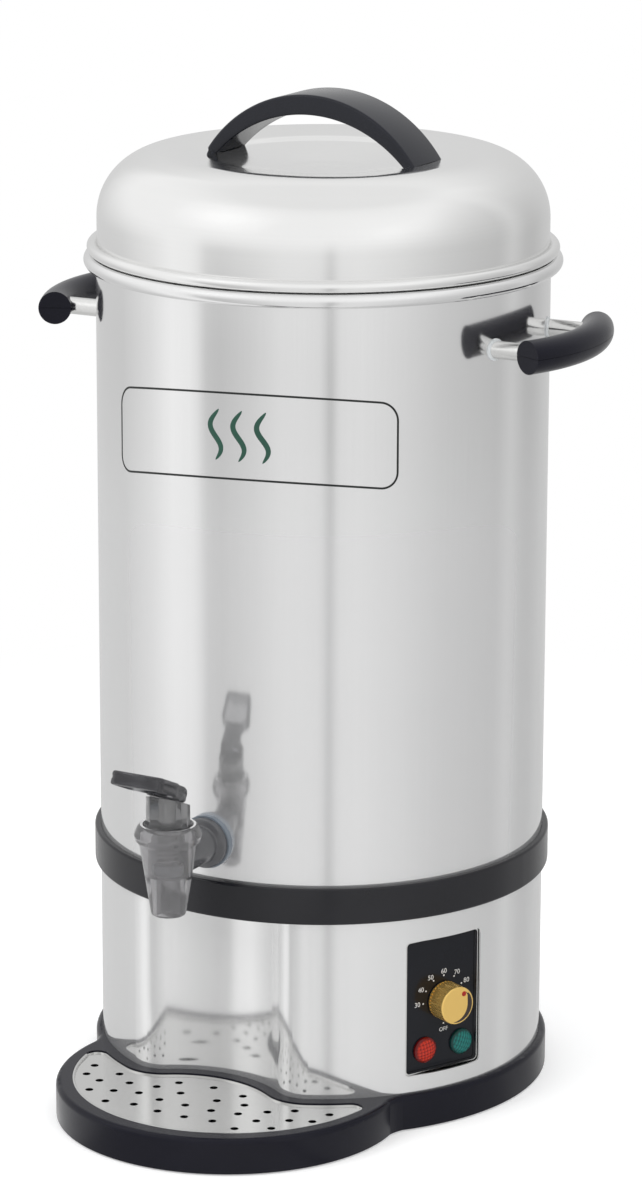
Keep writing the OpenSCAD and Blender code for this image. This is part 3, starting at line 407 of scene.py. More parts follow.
def makeFloor(spec, cards):
    # level sheet that keeps the shadow near the object and fades to white further off
    half = spec["floorSize"] / 2
    side = np.linspace(-half, half, spec["floorCells"])
    x, y = np.meshgrid(side, side, indexing="ij")
    floor = gridPiece("studioFloor", np.stack([x, y, np.zeros_like(x)], -1))
    paint = Paint("floorPaint")
    x, y, _ = paint.axes(paint.place())
    away = (x * x + y * y) ** 0.5
    fade = paint.climb(away, *spec["floorFade"])
    seen = seenRays(paint)
    matt = paint.add("ShaderNodeBsdfDiffuse", {}, {0: (*[spec["floorTone"]] * 3, 1)})
    lift = paint.add("ShaderNodeEmission", {}, {0: pureWhite, 1: seen * spec["floorLift"]})
    both = paint.add("ShaderNodeAddShader", {}, {0: matt, 1: lift})
    white = paint.add("ShaderNodeEmission", {}, {0: pureWhite, 1: 1.0})
    plain = paint.add("ShaderNodeMixShader", {}, {0: fade * seen, 1: both, 2: white})
    # in mirrors the cards go on over the floor: the angle from the front is spread towards the object, so
    # that the bands in the lower shell stay upright
    front, wrap = math.radians(spec["frontDeg"]), spec["wrapRadius"]
    aside = x * math.cos(front) + y * math.sin(front)
    ahead = x * math.sin(front) - y * math.cos(front)
    reach = away.maths("MAXIMUM", tankRadius + 1 * mm).maths("MINIMUM", wrap)
    spread = reach / (2 * reach - tankRadius) * ((2 * wrap - tankRadius) / wrap)
    turn = aside.maths("ARCTAN2", ahead) * spread / fullTurn + (front / fullTurn + 0.25)
    tone, _, _ = cardTone(paint, turn.maths("FRACT"), cards)
    carried = paint.add("ShaderNodeEmission", {}, {0: tone, 1: spec["wrapLight"]})
    _, mirrored, _ = rayKinds(paint)
    mixed = paint.add("ShaderNodeMixShader", {}, {0: mirrored, 1: plain, 2: carried})
    paint.add("ShaderNodeOutputMaterial", {}, {0: mixed})
    floor.data.materials.append(paint.material)


def makeWrap(spec, cards):
    # open cylinder of cards: tone is a ramp over the angle round the object, and fades to white further up
    r = spec["wrapRadius"]
    turn = np.linspace(-math.pi, math.pi, spec["wrapCols"])
    rise = np.linspace(spec["wrapFoot"], spec["wrapHeight"], spec["wrapRows"])
    t, z = np.meshgrid(turn, rise, indexing="ij")
    wrap = gridPiece("studioWrap", np.stack([r * np.cos(t), r * np.sin(t), z], -1))
    paint = Paint("wrapPaint")
    x, y, z = paint.axes(paint.place())
    tone, rise, _ = cardTone(paint, y.maths("ARCTAN2", x) / fullTurn + 0.5, cards)
    fade = paint.climb(z, spec["wrapFadeFrom"], rise + spec["wrapFadeFrom"])
    # towards its open top the wrap takes the level that mirrors see in the sky, so that no edge shows there
    top = paint.climb(z, spec["wrapTopFrom"], spec["wrapHeight"], 1.0, spec["skyMirror"])
    light = paint.add("ShaderNodeEmission", {}, {0: (tone + (1 - tone) * fade) * top, 1: spec["wrapLight"]})
    paint.add("ShaderNodeOutputMaterial", {}, {0: light})
    wrap.data.materials.append(paint.material)
    for kind in ("camera", "diffuse", "shadow", "transmission", "volume_scatter"):
        setattr(wrap, "visible_" + kind, False)


def makeLamp(name, spec):
    # a level-sided panel of light that faces its aim
    light = bpy.data.lights.new(name, "AREA")
    light.shape = "RECTANGLE"
    light.size, light.size_y = spec["size"]
    light.energy = spec["power"]
    lamp = linkObject(name, light)
    lamp.visible_glossy = spec["mirrored"]
    back = np.array(spec["where"], float) - np.array(spec["aim"], float)
    back /= np.linalg.norm(back)
    side = np.cross(upAxis, back)
    side /= np.linalg.norm(side)
    lamp.matrix_world = axesMatrix(side, np.cross(back, side), back, spec["where"])


makeWorld(studio)
makeFloor(studio, wrapCards)
makeWrap(studio, wrapCards)
for lampName, lampSpec in lamps.items():
    makeLamp(lampName, lampSpec)
bpy.context.scene.view_settings.view_transform = "Standard"
print("studio lit")


# Finishes: gloss is how far a roughness swings, bump a strength and a distance

rolled = {
    "hairlines": (900, 900, 6), "clouds": 11.0, "darkest": 0.93, "gloss": (0.05, 0.04),
    "bump": (0.03, 0.0002), "hazeTop": (0.36, 0.47), "hazeLeft": 0.1, "dullMetal": 0.6, "dullRough": 0.25,
}
spun = {"rings": 900, "clouds": 16.0, "darkest": 0.94, "gloss": (0.04, 0.05), "bump": (0.02, 0.0002)}
turned = {"scratches": 700.0, "darkest": 0.86, "gloss": 0.12, "bump": (0.03, 0.0002)}
gilded = {"ribs": 24, "metal": 0.72, "grain": 2400.0, "gloss": 0.08, "bump": (0.02, 0.0001)}
plastic = {"clouds": 35.0, "palest": 1.35, "lift": 0.004, "gloss": (0.12, 0.06), "bumpDeep": 0.0003}
lensGloss = {"clouds": 35.0, "gloss": 0.06, "coat": 0.15, "coatRough": 0.15, "shine": 0.3}
clear = {"flow": (60, 60, 200), "palest": 1.2, "gloss": 0.06, "bend": 1.5, "bump": (0.05, 0.0004)}
smokeGloss = {"rough": 0.07, "gloss": 0.05, "flowShare": 0.1}
seal = {"clouds": 120.0, "rough": 0.3, "gloss": 0.1, "bump": (0.05, 0.0003), "soft": 0.3 * mm}


def shade(tint, share, lift=0.0):
    # a darker or paler form of a colour
    return tuple(min(1.0, share * v + lift) for v in tint)


def rolledSteel(name, tint, rough, haze, innerRadius=0.0):
    # bright rolled sheet: faint upright hairlines, a little cloudiness; haze from wiping veils what its lower
    # part mirrors and thins out over the heights hazeTop, and inside innerRadius it is dulled by use
    paint = Paint(name)
    where = paint.place()
    x, y, z = paint.axes(where)
    away = (x * x + y * y) ** 0.5
    veil = paint.climb(z, *rolled["hazeTop"], haze, haze * rolled["hazeLeft"])
    dull = away.maths("LESS_THAN", innerRadius)
    streak = paint.noise(paint.stretch(where, rolled["hairlines"]), 1.0, 3.0, 0.6)
    cloud = paint.noise(where, rolled["clouds"])
    streakGloss, cloudGloss = rolled["gloss"]
    gloss = cloud.swing(streak.swing(rough, streakGloss), cloudGloss)
    return paint.finish({
        "Base Color": paint.blendColour(streak * 0.5 + cloud * 0.5, shade(tint, rolled["darkest"]), tint),
        "Metallic": 1 - veil - dull * rolled["dullMetal"], "Roughness": gloss + dull * rolled["dullRough"],
        "Normal": paint.bump(streak, *rolled["bump"]),
    })


def spunSteel(name, tint, rough):
    # polished on a lathe: rings that follow the distance from the axis
    paint = Paint(name)
    where = paint.place()
    x, y, z = paint.axes(where)
    away = (x * x + y * y) ** 0.5
    ring = paint.streaks(away * spun["rings"] + z * spun["rings"])
    cloud = paint.noise(where, spun["clouds"])
    ringGloss, cloudGloss = spun["gloss"]
    return paint.finish({
        "Base Color": paint.blendColour(ring * 0.4 + cloud * 0.6, shade(tint, spun["darkest"]), tint),
        "Metallic": 1.0, "Roughness": cloud.swing(ring.swing(rough, ringGloss), cloudGloss),
        "Normal": paint.bump(ring, *spun["bump"]),
    })


def turnedMetal(name, tint, rough):
    # plated or turned metal with fine even scratches
    paint = Paint(name)
    fine = paint.noise(paint.place(), turned["scratches"], 3.0, 0.6)
    return paint.finish({
        "Base Color": paint.blendColour(fine, shade(tint, turned["darkest"]), tint), "Metallic": 1.0,
        "Roughness": fine.swing(rough, turned["gloss"]), "Normal": paint.bump(fine, *turned["bump"]),
    })


def ribbedGold(name, tint, dark, rough, around):
    # gilded knob: streaks that run along the knob's side and out from the middle of its face
    paint = Paint(name)
    where = paint.place()
    x, y, z = paint.axes(where)
    (footX, footY, footZ), (rightX, rightY) = around
    aside = (x - footX) * rightX + (y - footY) * rightY
    streak = paint.streaks((z - footZ).maths("ARCTAN2", aside) * gilded["ribs"])
    fine = paint.noise(where, gilded["grain"])
    return paint.finish({
        "Base Color": paint.blendColour(streak, dark, tint), "Metallic": gilded["metal"],
        "Roughness": fine.swing(rough, gilded["gloss"]), "Normal": paint.bump(fine, *gilded["bump"]),
    })


def moulded(name, tint, rough, shine=0.5, pitch=1800.0, depth=0.08):
    # moulded plastic: fine grain, slight unevenness of colour and gloss
    paint = Paint(name)
    where = paint.place()
    grain = paint.noise(where, pitch)
    cloud = paint.noise(where, plastic["clouds"], 3.0)
    cloudGloss, grainGloss = plastic["gloss"]
    return paint.finish({
        "Base Color": paint.blendColour(cloud, tint, shade(tint, plastic["palest"], plastic["lift"])),
        "Roughness": grain.swing(cloud.swing(rough, cloudGloss), grainGloss), "Specular IOR Level": shine,
        "Normal": paint.bump(grain, depth, plastic["bumpDeep"]),
    })


def lensWithPaintedShade(name, paintedGrooveShade, crest, rough):
    # coloured lens, with painted shade in the grooves between its ribs and at its rim
    paint = Paint(name)
    rib = paint.add("ShaderNodeAttribute", {"attribute_name": "ribHeight"}, {}, "Fac")
    cloud = paint.noise(paint.place(), lensGloss["clouds"], 3.0)
    return paint.finish({
        "Base Color": paint.blendColour(rib, paintedGrooveShade, crest),
        "Roughness": cloud.swing(rough, lensGloss["gloss"]), "Specular IOR Level": lensGloss["shine"],
        "Coat Weight": lensGloss["coat"], "Coat Roughness": lensGloss["coatRough"],
    })


def clearTinted(name, tint, rough, through):
    # see-through moulding: tinted, with faint flow lines
    paint = Paint(name)
    flow = paint.noise(paint.stretch(paint.place(), clear["flow"]), 1.0, 3.0)
    return paint.finish({
        "Base Color": paint.blendColour(flow, tint, shade(tint, clear["palest"])),
        "Roughness": flow.swing(rough, clear["gloss"]), "Transmission Weight": through, "IOR": clear["bend"],
        "Normal": paint.bump(flow, *clear["bump"]),
    })


def spadeSmokeWithPaintedLight(name, spec, edge, paintedThroughLight, through):
    # see-through lever: paler over the hollow and darker where it is thick, painted light that shines through
    # the thin web; way is the distance from the pin along the spade, and each side of the hollow counts
    # inwards
    paint = Paint(name)
    where = paint.place()
    x, y, z = paint.axes(where)
    rise = math.radians(spec["riseDeg"])
    _, pinY, pinZ = spec["pin"]
    way = (z - pinZ * mm) * math.sin(rise) - (y - pinY * mm) * math.cos(rise)
    near, far = (v * mm for v in spec["pocket"])
    inner = (spec["paddleWidth"] / 2 - spec["pocketWall"]) * mm
    soft = spec["pocketSoft"] * mm
    behind, ahead = (way - near) / soft, (far - way) / soft
    beside = (inner - x.maths("ABSOLUTE")) / soft
    inside = behind.maths("MINIMUM", ahead.maths("MINIMUM", beside))
    thin = inside.maths("MAXIMUM", 0.0).maths("MINIMUM", 1.0)
    flow = paint.noise(paint.stretch(where, clear["flow"]), 1.0, 3.0)
    share = smokeGloss["flowShare"]
    return paint.finish({
        # the pale colour over the hollow is painted light through the thin web
        "Base Color": paint.blendColour(thin * (1 - share) + flow * share, edge, paintedThroughLight),
        "Roughness": flow.swing(smokeGloss["rough"], smokeGloss["gloss"]), "Transmission Weight": through,
        "IOR": clear["bend"], "Normal": paint.bump(flow, *clear["bump"]),
    })


def sealWithPaintedShade(name, front, rear, switchY):
    # soft ring: pale towards the tap, with painted shade where it meets the wall
    paint = Paint(name)
    where = paint.place()
    _, y, _ = paint.axes(where)
    cloud = paint.noise(where, seal["clouds"])
    share = paint.climb(y, switchY - seal["soft"], switchY + seal["soft"], kind="LINEAR")
    return paint.finish({
        # the rear colour is painted shade next to the wall
        "Base Color": paint.blendColour(share, front, rear),
        "Roughness": cloud.swing(seal["rough"], seal["gloss"]), "Normal": paint.bump(cloud, *seal["bump"]),
    })


# the lever's lengths are in millimetres, counted from its pin
lever = {
    "pin": (0, -186.5, 226.6), "riseDeg": 24, "front": 41.5, "back": 8.5, "corner": 5.0,
    "flare": (11.0, 20.0), "headWidth": 19.0, "neckWidth": 16.0, "paddleWidth": 36.0, "headFront": 10.0,
    "headEase": 1.2, "low": -3.6, "headTop": 5.4, "armTop": 5.0, "hubDeep": 0.6,
    "tipDrop": 1.1, "tipRise": 0.9, "heelDrop": 5.5, "heelRise": 1.6, "heelNarrow": 0.14,
    "pocket": (14.0, 38.3), "pocketLip": (0.01, 0.5), "pocketWall": 3.6, "pocketSoft": 1.2, "roof": 6.8,
    "heelSteps": 14, "armSteps": 60, "tipSteps": 16,
}
knobJoint = next(joint for joint in frame["record"]["behaviour"]["joints"] if joint["name"] == "knob_turn")
panelTurn = math.radians(64.2)
knobFrame = (knobJoint["pos_m"], (math.cos(panelTurn), math.sin(panelTurn)))
finishes = {
    "tankSteel": (rolledSteel, (0.868, 0.868, 0.868), 0.10, 0.28, 139.5 * mm),
    "shellSteel": (rolledSteel, (0.885, 0.885, 0.885), 0.10, 0.25),
    "lidSteel": (spunSteel, (0.87, 0.87, 0.865), 0.12),
    "gridSteel": (spunSteel, (0.78, 0.78, 0.77), 0.11),
    "brightSteel": (turnedMetal, (0.82, 0.82, 0.81), 0.16),
    "blackMoulding": (moulded, (0.004, 0.004, 0.010), 0.22, 0.22),
    "bandBlack": (moulded, (0.008, 0.008, 0.011), 0.20, 0.4),
    "panelBlack": (moulded, (0.005, 0.006, 0.010), 0.16, 0.28, 2600.0, 0.02),
    "smokeTap": (clearTinted, (0.46, 0.455, 0.465), 0.07, 0.8),
    "smokeBonnet": (clearTinted, (0.30, 0.30, 0.305), 0.07, 0.75),
    "smokeShank": (clearTinted, (0.18, 0.18, 0.19), 0.10, 0.45),
    # the lever's pale colour is painted light through its thin web
    "smokeLever": (spadeSmokeWithPaintedLight, lever, (0.09, 0.09, 0.10), (0.55, 0.55, 0.56), 0.7),
    "handleBlack": (moulded, (0.004, 0.005, 0.010), 0.19, 0.36),
    "labelInk": (moulded, (0.012, 0.014, 0.013), 0.35, 0.3),
    "signGreen": (moulded, (0.012, 0.07, 0.045), 0.35),
    "markWhite": (moulded, (0.80, 0.80, 0.78), 0.45),
    "paleSilicone": (moulded, (0.72, 0.75, 0.77), 0.35),
    # the seal's second colour is painted shade next to the wall
    "blueSeal": (sealWithPaintedShade, (0.72, 0.78, 0.84), (0.20, 0.23, 0.27), -145.6 * mm),
    "footRubber": (moulded, (0.03, 0.03, 0.03), 0.7),
    "knobGold": (ribbedGold, (1.0, 0.72, 0.24), (1.0, 0.62, 0.17), 0.20, knobFrame),
    "inlayBrown": (moulded, (0.03, 0.018, 0.014), 0.4),
    "dotRed": (moulded, (0.36, 0.016, 0.010), 0.3, 0.3),
    # each lens's first colour is painted shade in its grooves and on its rim
    "lensRed": (lensWithPaintedShade, (0.17, 0.003, 0.003), (0.72, 0.036, 0.012), 0.14),
    "lensGreen": (lensWithPaintedShade, (0.002, 0.05, 0.046), (0.012, 0.24, 0.215), 0.14),
    "castAluminium": (turnedMetal, (0.66, 0.67, 0.68), 0.4),
    "darkMetal": (turnedMetal, (0.22, 0.22, 0.23), 0.45),
    "greyMetal": (moulded, (0.38, 0.39, 0.40), 0.4),
    "palePlastic": (moulded, (0.75, 0.72, 0.65), 0.45),
}
paints = {name: make(name, *values) for name, (make, *values) in finishes.items()}
slotPaint = {
    "steel_satin": "shellSteel", "steel_bright": "brightSteel", "black_plastic": "blackMoulding",
    "black_panel": "panelBlack", "smoke_plastic": "smokeTap", "silicone": "paleSilicone",
    "rubber": "footRubber", "gold_plastic": "knobGold", "brown_inlay": "inlayBrown", "red_dot": "dotRed",
    "red_lens": "lensRed", "green_lens": "lensGreen", "aluminium": "castAluminium",
    "dark_metal": "darkMetal", "grey_metal": "greyMetal", "pale_plastic": "palePlastic",
}
ownPaint = {
    "lid": "lidSteel", "drip_grid": "gridSteel", "joint_band": "bandBlack", "tap_outer_seal": "blueSeal",
}
for part in frame["record"]["subparts"]:
    mesh = nodes[part["node"]].data
    mesh.materials.clear()
    mesh.materials.append(paints[ownPaint.get(part["node"], slotPaint[part["material_slot"]])])
print("finishes set:", len(paints))


# Tank and lid: sheet turned about the kettle's axis, in millimetres

upright = ((1, 0, 0), (0, 1, 0), (0, 0, 1))
kettleAxis = ((0, 0, 0), *upright)
tankLow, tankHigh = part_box("tank")
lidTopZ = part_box("lid")[1][2]
tank = {
    "sheet": 1.0, "corner": 8.0, "wall": 140.0, "rimRadius": 4.4, "rimAt": 143.1, "rimUnder": 20,
    "rimSteps": 40, "cols": 256,
}
lid = {
    "sheet": 1.0, "wall": 139.2, "shoulder": 40.0, "shoulderSteps": 40, "shoulderFromDeg": 89,
    "beadAt": 142.05, "bead": 3.35, "beadZ": 3.65, "beadEndDeg": -171.4, "beadSteps": 36,
    "skirt": (136.9, 137.9), "skirtDeep": 11.0, "topRound": (60, 4, 5, 40), "topSteps": 8, "cols": 256,
    # radius, and height under the highest ring
    "top": ((0, -12), (27, -12), (68, -5), (71, -2.5), (96.2, 0), (99.2, 0)),
}


def makeTank(spec):
    # bottom, wall, rolled rim, then down the inside
    low, rim = tankLow[2] / mm, tankHigh[2] / mm
    wall, sheet, r = spec["wall"], spec["sheet"], spec["rimRadius"]
    inner, under, floor = wall - sheet, rim - spec["rimUnder"], low + sheet
    start = -math.degrees(math.acos((wall - spec["rimAt"]) / r))
    end = math.degrees(math.acos((inner - spec["rimAt"]) / r))
    outside = fillet([(0, low), (wall, low), (wall, under)], [spec["corner"]])
    curl = arcRun((spec["rimAt"], rim - r), r, start, end, spec["rimSteps"])
    inside = fillet([(inner, under), (inner, floor), (0, floor)], [spec["corner"] - sheet])
    profile = np.concatenate([outside, curl, inside])[::-1]
    return gridPiece("tankWall", revolve(profile * mm, kettleAxis, spec["cols"]), closeV=True)


def makeLid(spec):
    # out over the dish, recess and shoulder, down to the rolled edge and the skirt, and back along the inside
    top, rim, sheet, reach = lidTopZ / mm, tankHigh[2] / mm, spec["sheet"], spec["shoulder"]
    crown = np.array(spec["top"], float) + (0, top)
    over = fillet(crown, spec["topRound"], spec["topSteps"])
    centre = np.array([crown[-1][0], top - reach])
    shoulder = arcRun(centre, reach, spec["shoulderFromDeg"], 0, spec["shoulderSteps"])
    beadZ = rim + spec["beadZ"]
    start = math.degrees(math.acos((spec["wall"] - spec["beadAt"]) / spec["bead"]))
    edge = arcRun((spec["beadAt"], beadZ), spec["bead"], start, spec["beadEndDeg"], spec["beadSteps"])
    inSkirt, outSkirt = spec["skirt"]
    foot, ledge = rim - spec["skirtDeep"], beadZ + sheet / 2
    skirt = [(outSkirt, beadZ - sheet / 2), (outSkirt, foot), (inSkirt, foot), (inSkirt, ledge)]
    skirt.append((spec["wall"] - sheet, ledge))
    underShoulder = shoulder[::-1] * ((reach - sheet) / reach) + centre * (sheet / reach)
    profile = np.concatenate([over, shoulder, edge, skirt, underShoulder, over[::-1] - (0, sheet)])
    return gridPiece("lidShell", revolve(profile * mm, kettleAxis, spec["cols"]), closeV=True)


finishPiece(makeTank(tank), "tankSteel", "kettle", ["tank"])
finishPiece(makeLid(lid), "lidSteel", "lid", ["lid"])
print("tank and lid turned")


# Lid handle: a crescent with rounded edges, cut to the lid's top

lidHandle = {
    "rise": 36.0 * mm, "outerRadius": 87.8 * mm, "innerRadius": 90.8 * mm, "thick": 12.5 * mm,
    "width": 36.5 * mm, "edge": 1.7 * mm, "edgeShare": 0.7, "edgeSteps": 6, "steps": 97,
    "footBetween": (0.6, 1.35), "halvings": 30,
}


def makeLidHandle(spec, lidTop):
    # each point of the rounded section runs along the arch from one foot on the lid to the other
    topZ = lidTopZ + spec["rise"]
    outerZ = topZ - spec["outerRadius"]
    drop = outerZ - (topZ - spec["thick"] - spec["innerRadius"])
    arcs = roundedBar(2, 2, 1, spec["edgeSteps"])
    push = np.sign(arcs)

    def archPoint(angle):
        inner = -drop * np.cos(angle) + np.sqrt(spec["innerRadius"] ** 2 - (drop * np.sin(angle)) ** 2)
        half = (spec["outerRadius"] - inner) / 2
        edge = np.minimum(spec["edge"], spec["edgeShare"] * half)
        away = inner + half + push[:, 0] * (half - edge) + arcs[:, 0] * edge
        across = push[:, 1] * (spec["width"] / 2 - edge) + arcs[:, 1] * edge
        return np.stack([away * np.sin(angle), across, outerZ + away * np.cos(angle)], -1)

    radii, drops = np.array(lidTop).T * mm
    low, high = (np.full(len(arcs), angle) for angle in spec["footBetween"])
    for _ in range(spec["halvings"]):  # closes in on the angle at which each line meets the lid
        middle = (low + high) / 2
        point = archPoint(middle)
        over = point[:, 2] > lidTopZ + np.interp(np.hypot(point[:, 0], point[:, 1]), radii, drops)
        low, high = np.where(over, middle, low), np.where(over, high, middle)
    points = archPoint(np.linspace(-1, 1, spec["steps"])[:, None] * low[None])
    return gridPiece("lidHandleArch", capped(points), closeV=True, sharpDeg=35)


arch = makeLidHandle(lidHandle, lid["top"])
finishPiece(arch, "handleBlack", "lid", ["lid_handle"])
print("lid handle made")


# Tap: bowl-shaped collar on a tapered spout, shank to the wall, eight-sided bonnet, lever

tapLow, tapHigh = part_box("tap_body")
tap = {
    "axisY": lever["pin"][1] * mm, "wallY": -143.2 * mm, "collarTop": tapHigh[2],
    "shankZ": tapLow[2] + 33 * mm,
    # radius and height in millimetres from the bore round nozzle and collar to the chamber, and the roundings
    "spout": ((7.0, 25.0), (7.0, 0), (10.25, 0), (10.7, 1.2), (17.6, 45.4), (19.6, 46.4), (20.6, 50.2),
              (18.1, 56.6), (16.4, 56.6), (14.2, 52.6), (12.0, 52.6), (12.0, 25.0)),
    "spoutRound": (0, 0.8, 0.6, 3, 1.2, 1.4, 4.0, 0.8, 0.6, 0.5), "spoutHeight": 56.5 * mm, "spoutCols": 128,
    "shankBore": 6.5, "shankRadius": 11.5, "flangeRadius": 15.5, "flange": (-3, 4, 5.5), "shankShort": 8,
    "shankRound": (0.5, 1.2, 1.5, 0.2), "shankCols": 96,
    "bonnetFlat": 12.5 * mm, "bonnetTurnDeg": 22.5, "bonnetFallDeg": 22.8, "bonnetTop": 14.75 * mm,
    "bonnetDown": 3.9 * mm, "bonnetRound": 1.6 * mm, "bonnetRoundSteps": 4,
    # share of the bonnet's outline, with the height over its foot, and with the depth under its sloping top
    "bonnetFoot": ((0.80, 0.0), (0.96, 0.6), (1.0, 2.0)),
    "bonnetHead": ((1.0, 0.6), (0.985, 0.2), (0.95, 0.0), (0.5, 0.0)),
}


def makeSpout(spec):
    # spout and collar, turned about the upright axis
    outer = fillet(np.array(spec["spout"]) * mm, np.array(spec["spoutRound"]) * mm)
    outer[:, 1] += spec["collarTop"] - spec["spoutHeight"]
    surface = revolve(outer, ((0, spec["axisY"], 0), *upright), spec["spoutCols"])
    return gridPiece("tapSpout", surface[::-1], True, True, sharpDeg=50)


def makeShank(spec):
    # shank and flange, turned about the level axis that runs out from the wall
    wall, end = -spec["wallY"] / mm, -spec["axisY"] / mm - spec["shankShort"]
    bore, radius, flange = spec["shankBore"], spec["shankRadius"], spec["flangeRadius"]
    rear, front, neck = (wall + away for away in spec["flange"])
    corners = [[bore, rear], [flange, rear], [flange, front], [radius, neck], [radius, end], [bore, end]]
    profile = fillet(np.array(corners) * mm, np.array(spec["shankRound"]) * mm)
    outwards = ((0, 0, spec["shankZ"]), (1, 0, 0), (0, 0, 1), (0, -1, 0))
    surface = revolve(profile, outwards, spec["shankCols"])
    return gridPiece("tapShank", surface[::-1], True, True, sharpDeg=50)


def makeTapBonnet(spec):
    # eight-sided post: a rounded octagon lofted up, its top sloping to the rear, chamfered at the foot
    corner = np.radians(np.arange(8) * 45 + spec["bonnetTurnDeg"])
    toCorner = spec["bonnetFlat"] / math.cos(math.pi / 8)
    octagon = np.stack([np.cos(corner), np.sin(corner)], -1) * toCorner
    x, y = filletLoop(octagon, np.full(8, spec["bonnetRound"]), spec["bonnetRoundSteps"]).T
    foot, axisTop = spec["collarTop"] - spec["bonnetDown"], spec["collarTop"] + spec["bonnetTop"]
    fall = math.tan(math.radians(spec["bonnetFallDeg"]))
    rows = [(share, np.full(len(x), foot + above * mm)) for share, above in spec["bonnetFoot"]]
    rows += [(share, axisTop - y * share * fall - below * mm) for share, below in spec["bonnetHead"]]
    layers = [np.column_stack([x * share, y * share + spec["axisY"], z]) for share, z in rows]
    return gridPiece("tapBonnetPost", capped(np.array(layers)[::-1]), closeV=True, sharpDeg=35)


# right half of the lever's section, from the middle of its top to the middle of the hollow: inset from the
# side, where 99 is the middle and 12 half-way; depth under the top; then height over the foot, and the share
# of the hollow's height
leverSection = {
    "inset": (99, 12, 1.6, 0.8, 0.2, 0, 0, 0.45, 0.45, 0, 0, 0.2, 0.7, 1.3, 2.4, 2.8, 3.0, 3.8, 12, 99),
    "fromTop": (0, 0, 0, 0.2, 0.8, 1.6, 2.7, 3.3, 4.7, 5.3),
    "fromLow": (1.5, 0.7, 0.2, 0, 0, 0, 0, 0, 0, 0),
    "hollow": (0, 0, 0, 0, 0, 0.05, 0.9, 1, 1, 1),
}


def makeTapLever(spec, section):
    # the section carried along the spade; width, top and hollow are functions of the way from the pin
    front, back, corner = spec["front"], spec["back"], spec["corner"]
    (near, far), (lip, step) = spec["pocket"], spec["pocketLip"]
    quarter = math.pi / 2
    heelWay = -back * np.cos(np.linspace(0, quarter, spec["heelSteps"]))
    armWay = np.linspace(0, front - corner, spec["armSteps"])[1:]
    tipWay = front - corner + corner * np.sin(np.linspace(0, quarter, spec["tipSteps"])[1:])
    pocketWay = [near - lip, near + step, far - step, far + lip]
    way = np.sort(np.concatenate([heelWay, armWay, tipWay, pocketWay]))[:, None]
    head = 1 - smoothRun(way, spec["headFront"] - spec["headEase"], spec["headFront"] + spec["headEase"])
    tip = np.clip((way - front + corner) / corner, 0, 1)
    heel = np.clip(-way / back, 0, 1)
    half = (spec["neckWidth"] + (spec["headWidth"] - spec["neckWidth"]) * head) / 2
    half = half + (spec["paddleWidth"] - spec["neckWidth"]) / 2 * smoothRun(way, *spec["flare"])
    half = half - corner * (1 - np.sqrt(np.clip(1 - tip ** 2, 0, 1)))
    half = half * (1 - spec["heelNarrow"] * heel ** 6)
    top = spec["armTop"] + (spec["headTop"] - spec["armTop"]) * head
    top = top - spec["tipDrop"] * tip ** 8 - spec["heelDrop"] * (1 - np.sqrt(np.clip(1 - heel ** 3, 0, 1)))
    low = spec["low"] - spec["hubDeep"] * head + spec["tipRise"] * tip ** 8 + spec["heelRise"] * heel ** 6
    roof = spec["roof"] * ((way > near) & (way < far))
    inset, fromTop, fromLow, hollow = (
        np.array(section[k], float) for k in ("inset", "fromTop", "fromLow", "hollow"))
    x = np.where(inset > 50, 0, np.where(inset > 10, half * 0.5, half - np.minimum(inset, half)))
    squeeze = (top - low) / (spec["armTop"] - spec["low"])
    upper, lower = top - fromTop * np.minimum(squeeze, 1), low + fromLow * squeeze + hollow * roof
    z = np.concatenate([upper, lower], 1)
    x = np.concatenate([x, -x[:, -2:0:-1]], 1)
    z = np.concatenate([z, z[:, -2:0:-1]], 1)
    y = np.broadcast_to(-way, x.shape)
    rise = math.radians(spec["riseDeg"])
    turnedY = y * math.cos(rise) + z * math.sin(rise)
    turnedZ = -y * math.sin(rise) + z * math.cos(rise)
    points = (np.stack([x, turnedY, turnedZ], -1) + np.array(spec["pin"])) * mm
    return gridPiece("tapLeverSpade", capped(points), closeV=True, sharpDeg=38)


finishPiece(makeSpout(tap), "smokeTap", "kettle", ["tap_body"])
finishPiece(makeShank(tap), "smokeShank", "kettle")
finishPiece(makeTapBonnet(tap), "smokeBonnet", "kettle", ["tap_bonnet"])
spade = makeTapLever(lever, leverSection)
finishPiece(spade, "smokeLever", "lever", ["tap_lever"])


# Tap spring: the coil that shortens as the stem lifts in the real tap, made here at one length to the size of
# the spring's part

spring = {"wire": 0.6 * mm, "turns": 5.0, "flatTurns": 0.9, "endClimb": 0.09, "steps": 420, "round": 12}


def makeSpring(spec):
    # a round section carried along a helix with closed end turns; the way up is eased at both ends
    low, high = (np.array(corner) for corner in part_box("tap_spring"))
    middle = (low + high) / 2
    wire, ends = spec["wire"], spec["endClimb"]
    radius = (high[0] - low[0]) / 2 - wire
    t = np.linspace(0, 1, spec["steps"])
    turn = fullTurn * spec["turns"] * t
    flat = spec["flatTurns"] / spec["turns"]
    climb = smoothRun(t, 0, flat) * ends + smoothRun(t, 1 - flat, 1) * ends
    climb = climb + np.clip((t - flat / 2) / (1 - flat), 0, 1) * (1 - 2 * ends)
    z = low[2] + wire + (high[2] - low[2] - 2 * wire) * climb
    out = np.stack([np.cos(turn), np.sin(turn), np.zeros_like(t)], -1)
    path = out * radius + np.stack([np.full_like(t, middle[0]), np.full_like(t, middle[1]), z], -1)
    ring = circle(spec["round"])
    points = path[:, None] + wire * (ring[None, :, :1] * out[:, None] + ring[None, :, 1:] * upAxis)
    coil = gridPiece("tapSpringCoil", capped(points), closeV=True)
    coil.data.materials.append(paints["brightSteel"])
    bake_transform(coil)
    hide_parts("tap_spring")


makeSpring(spring)
print("tap made")


# Outlined field on the tank's front, with a plain sign of steam

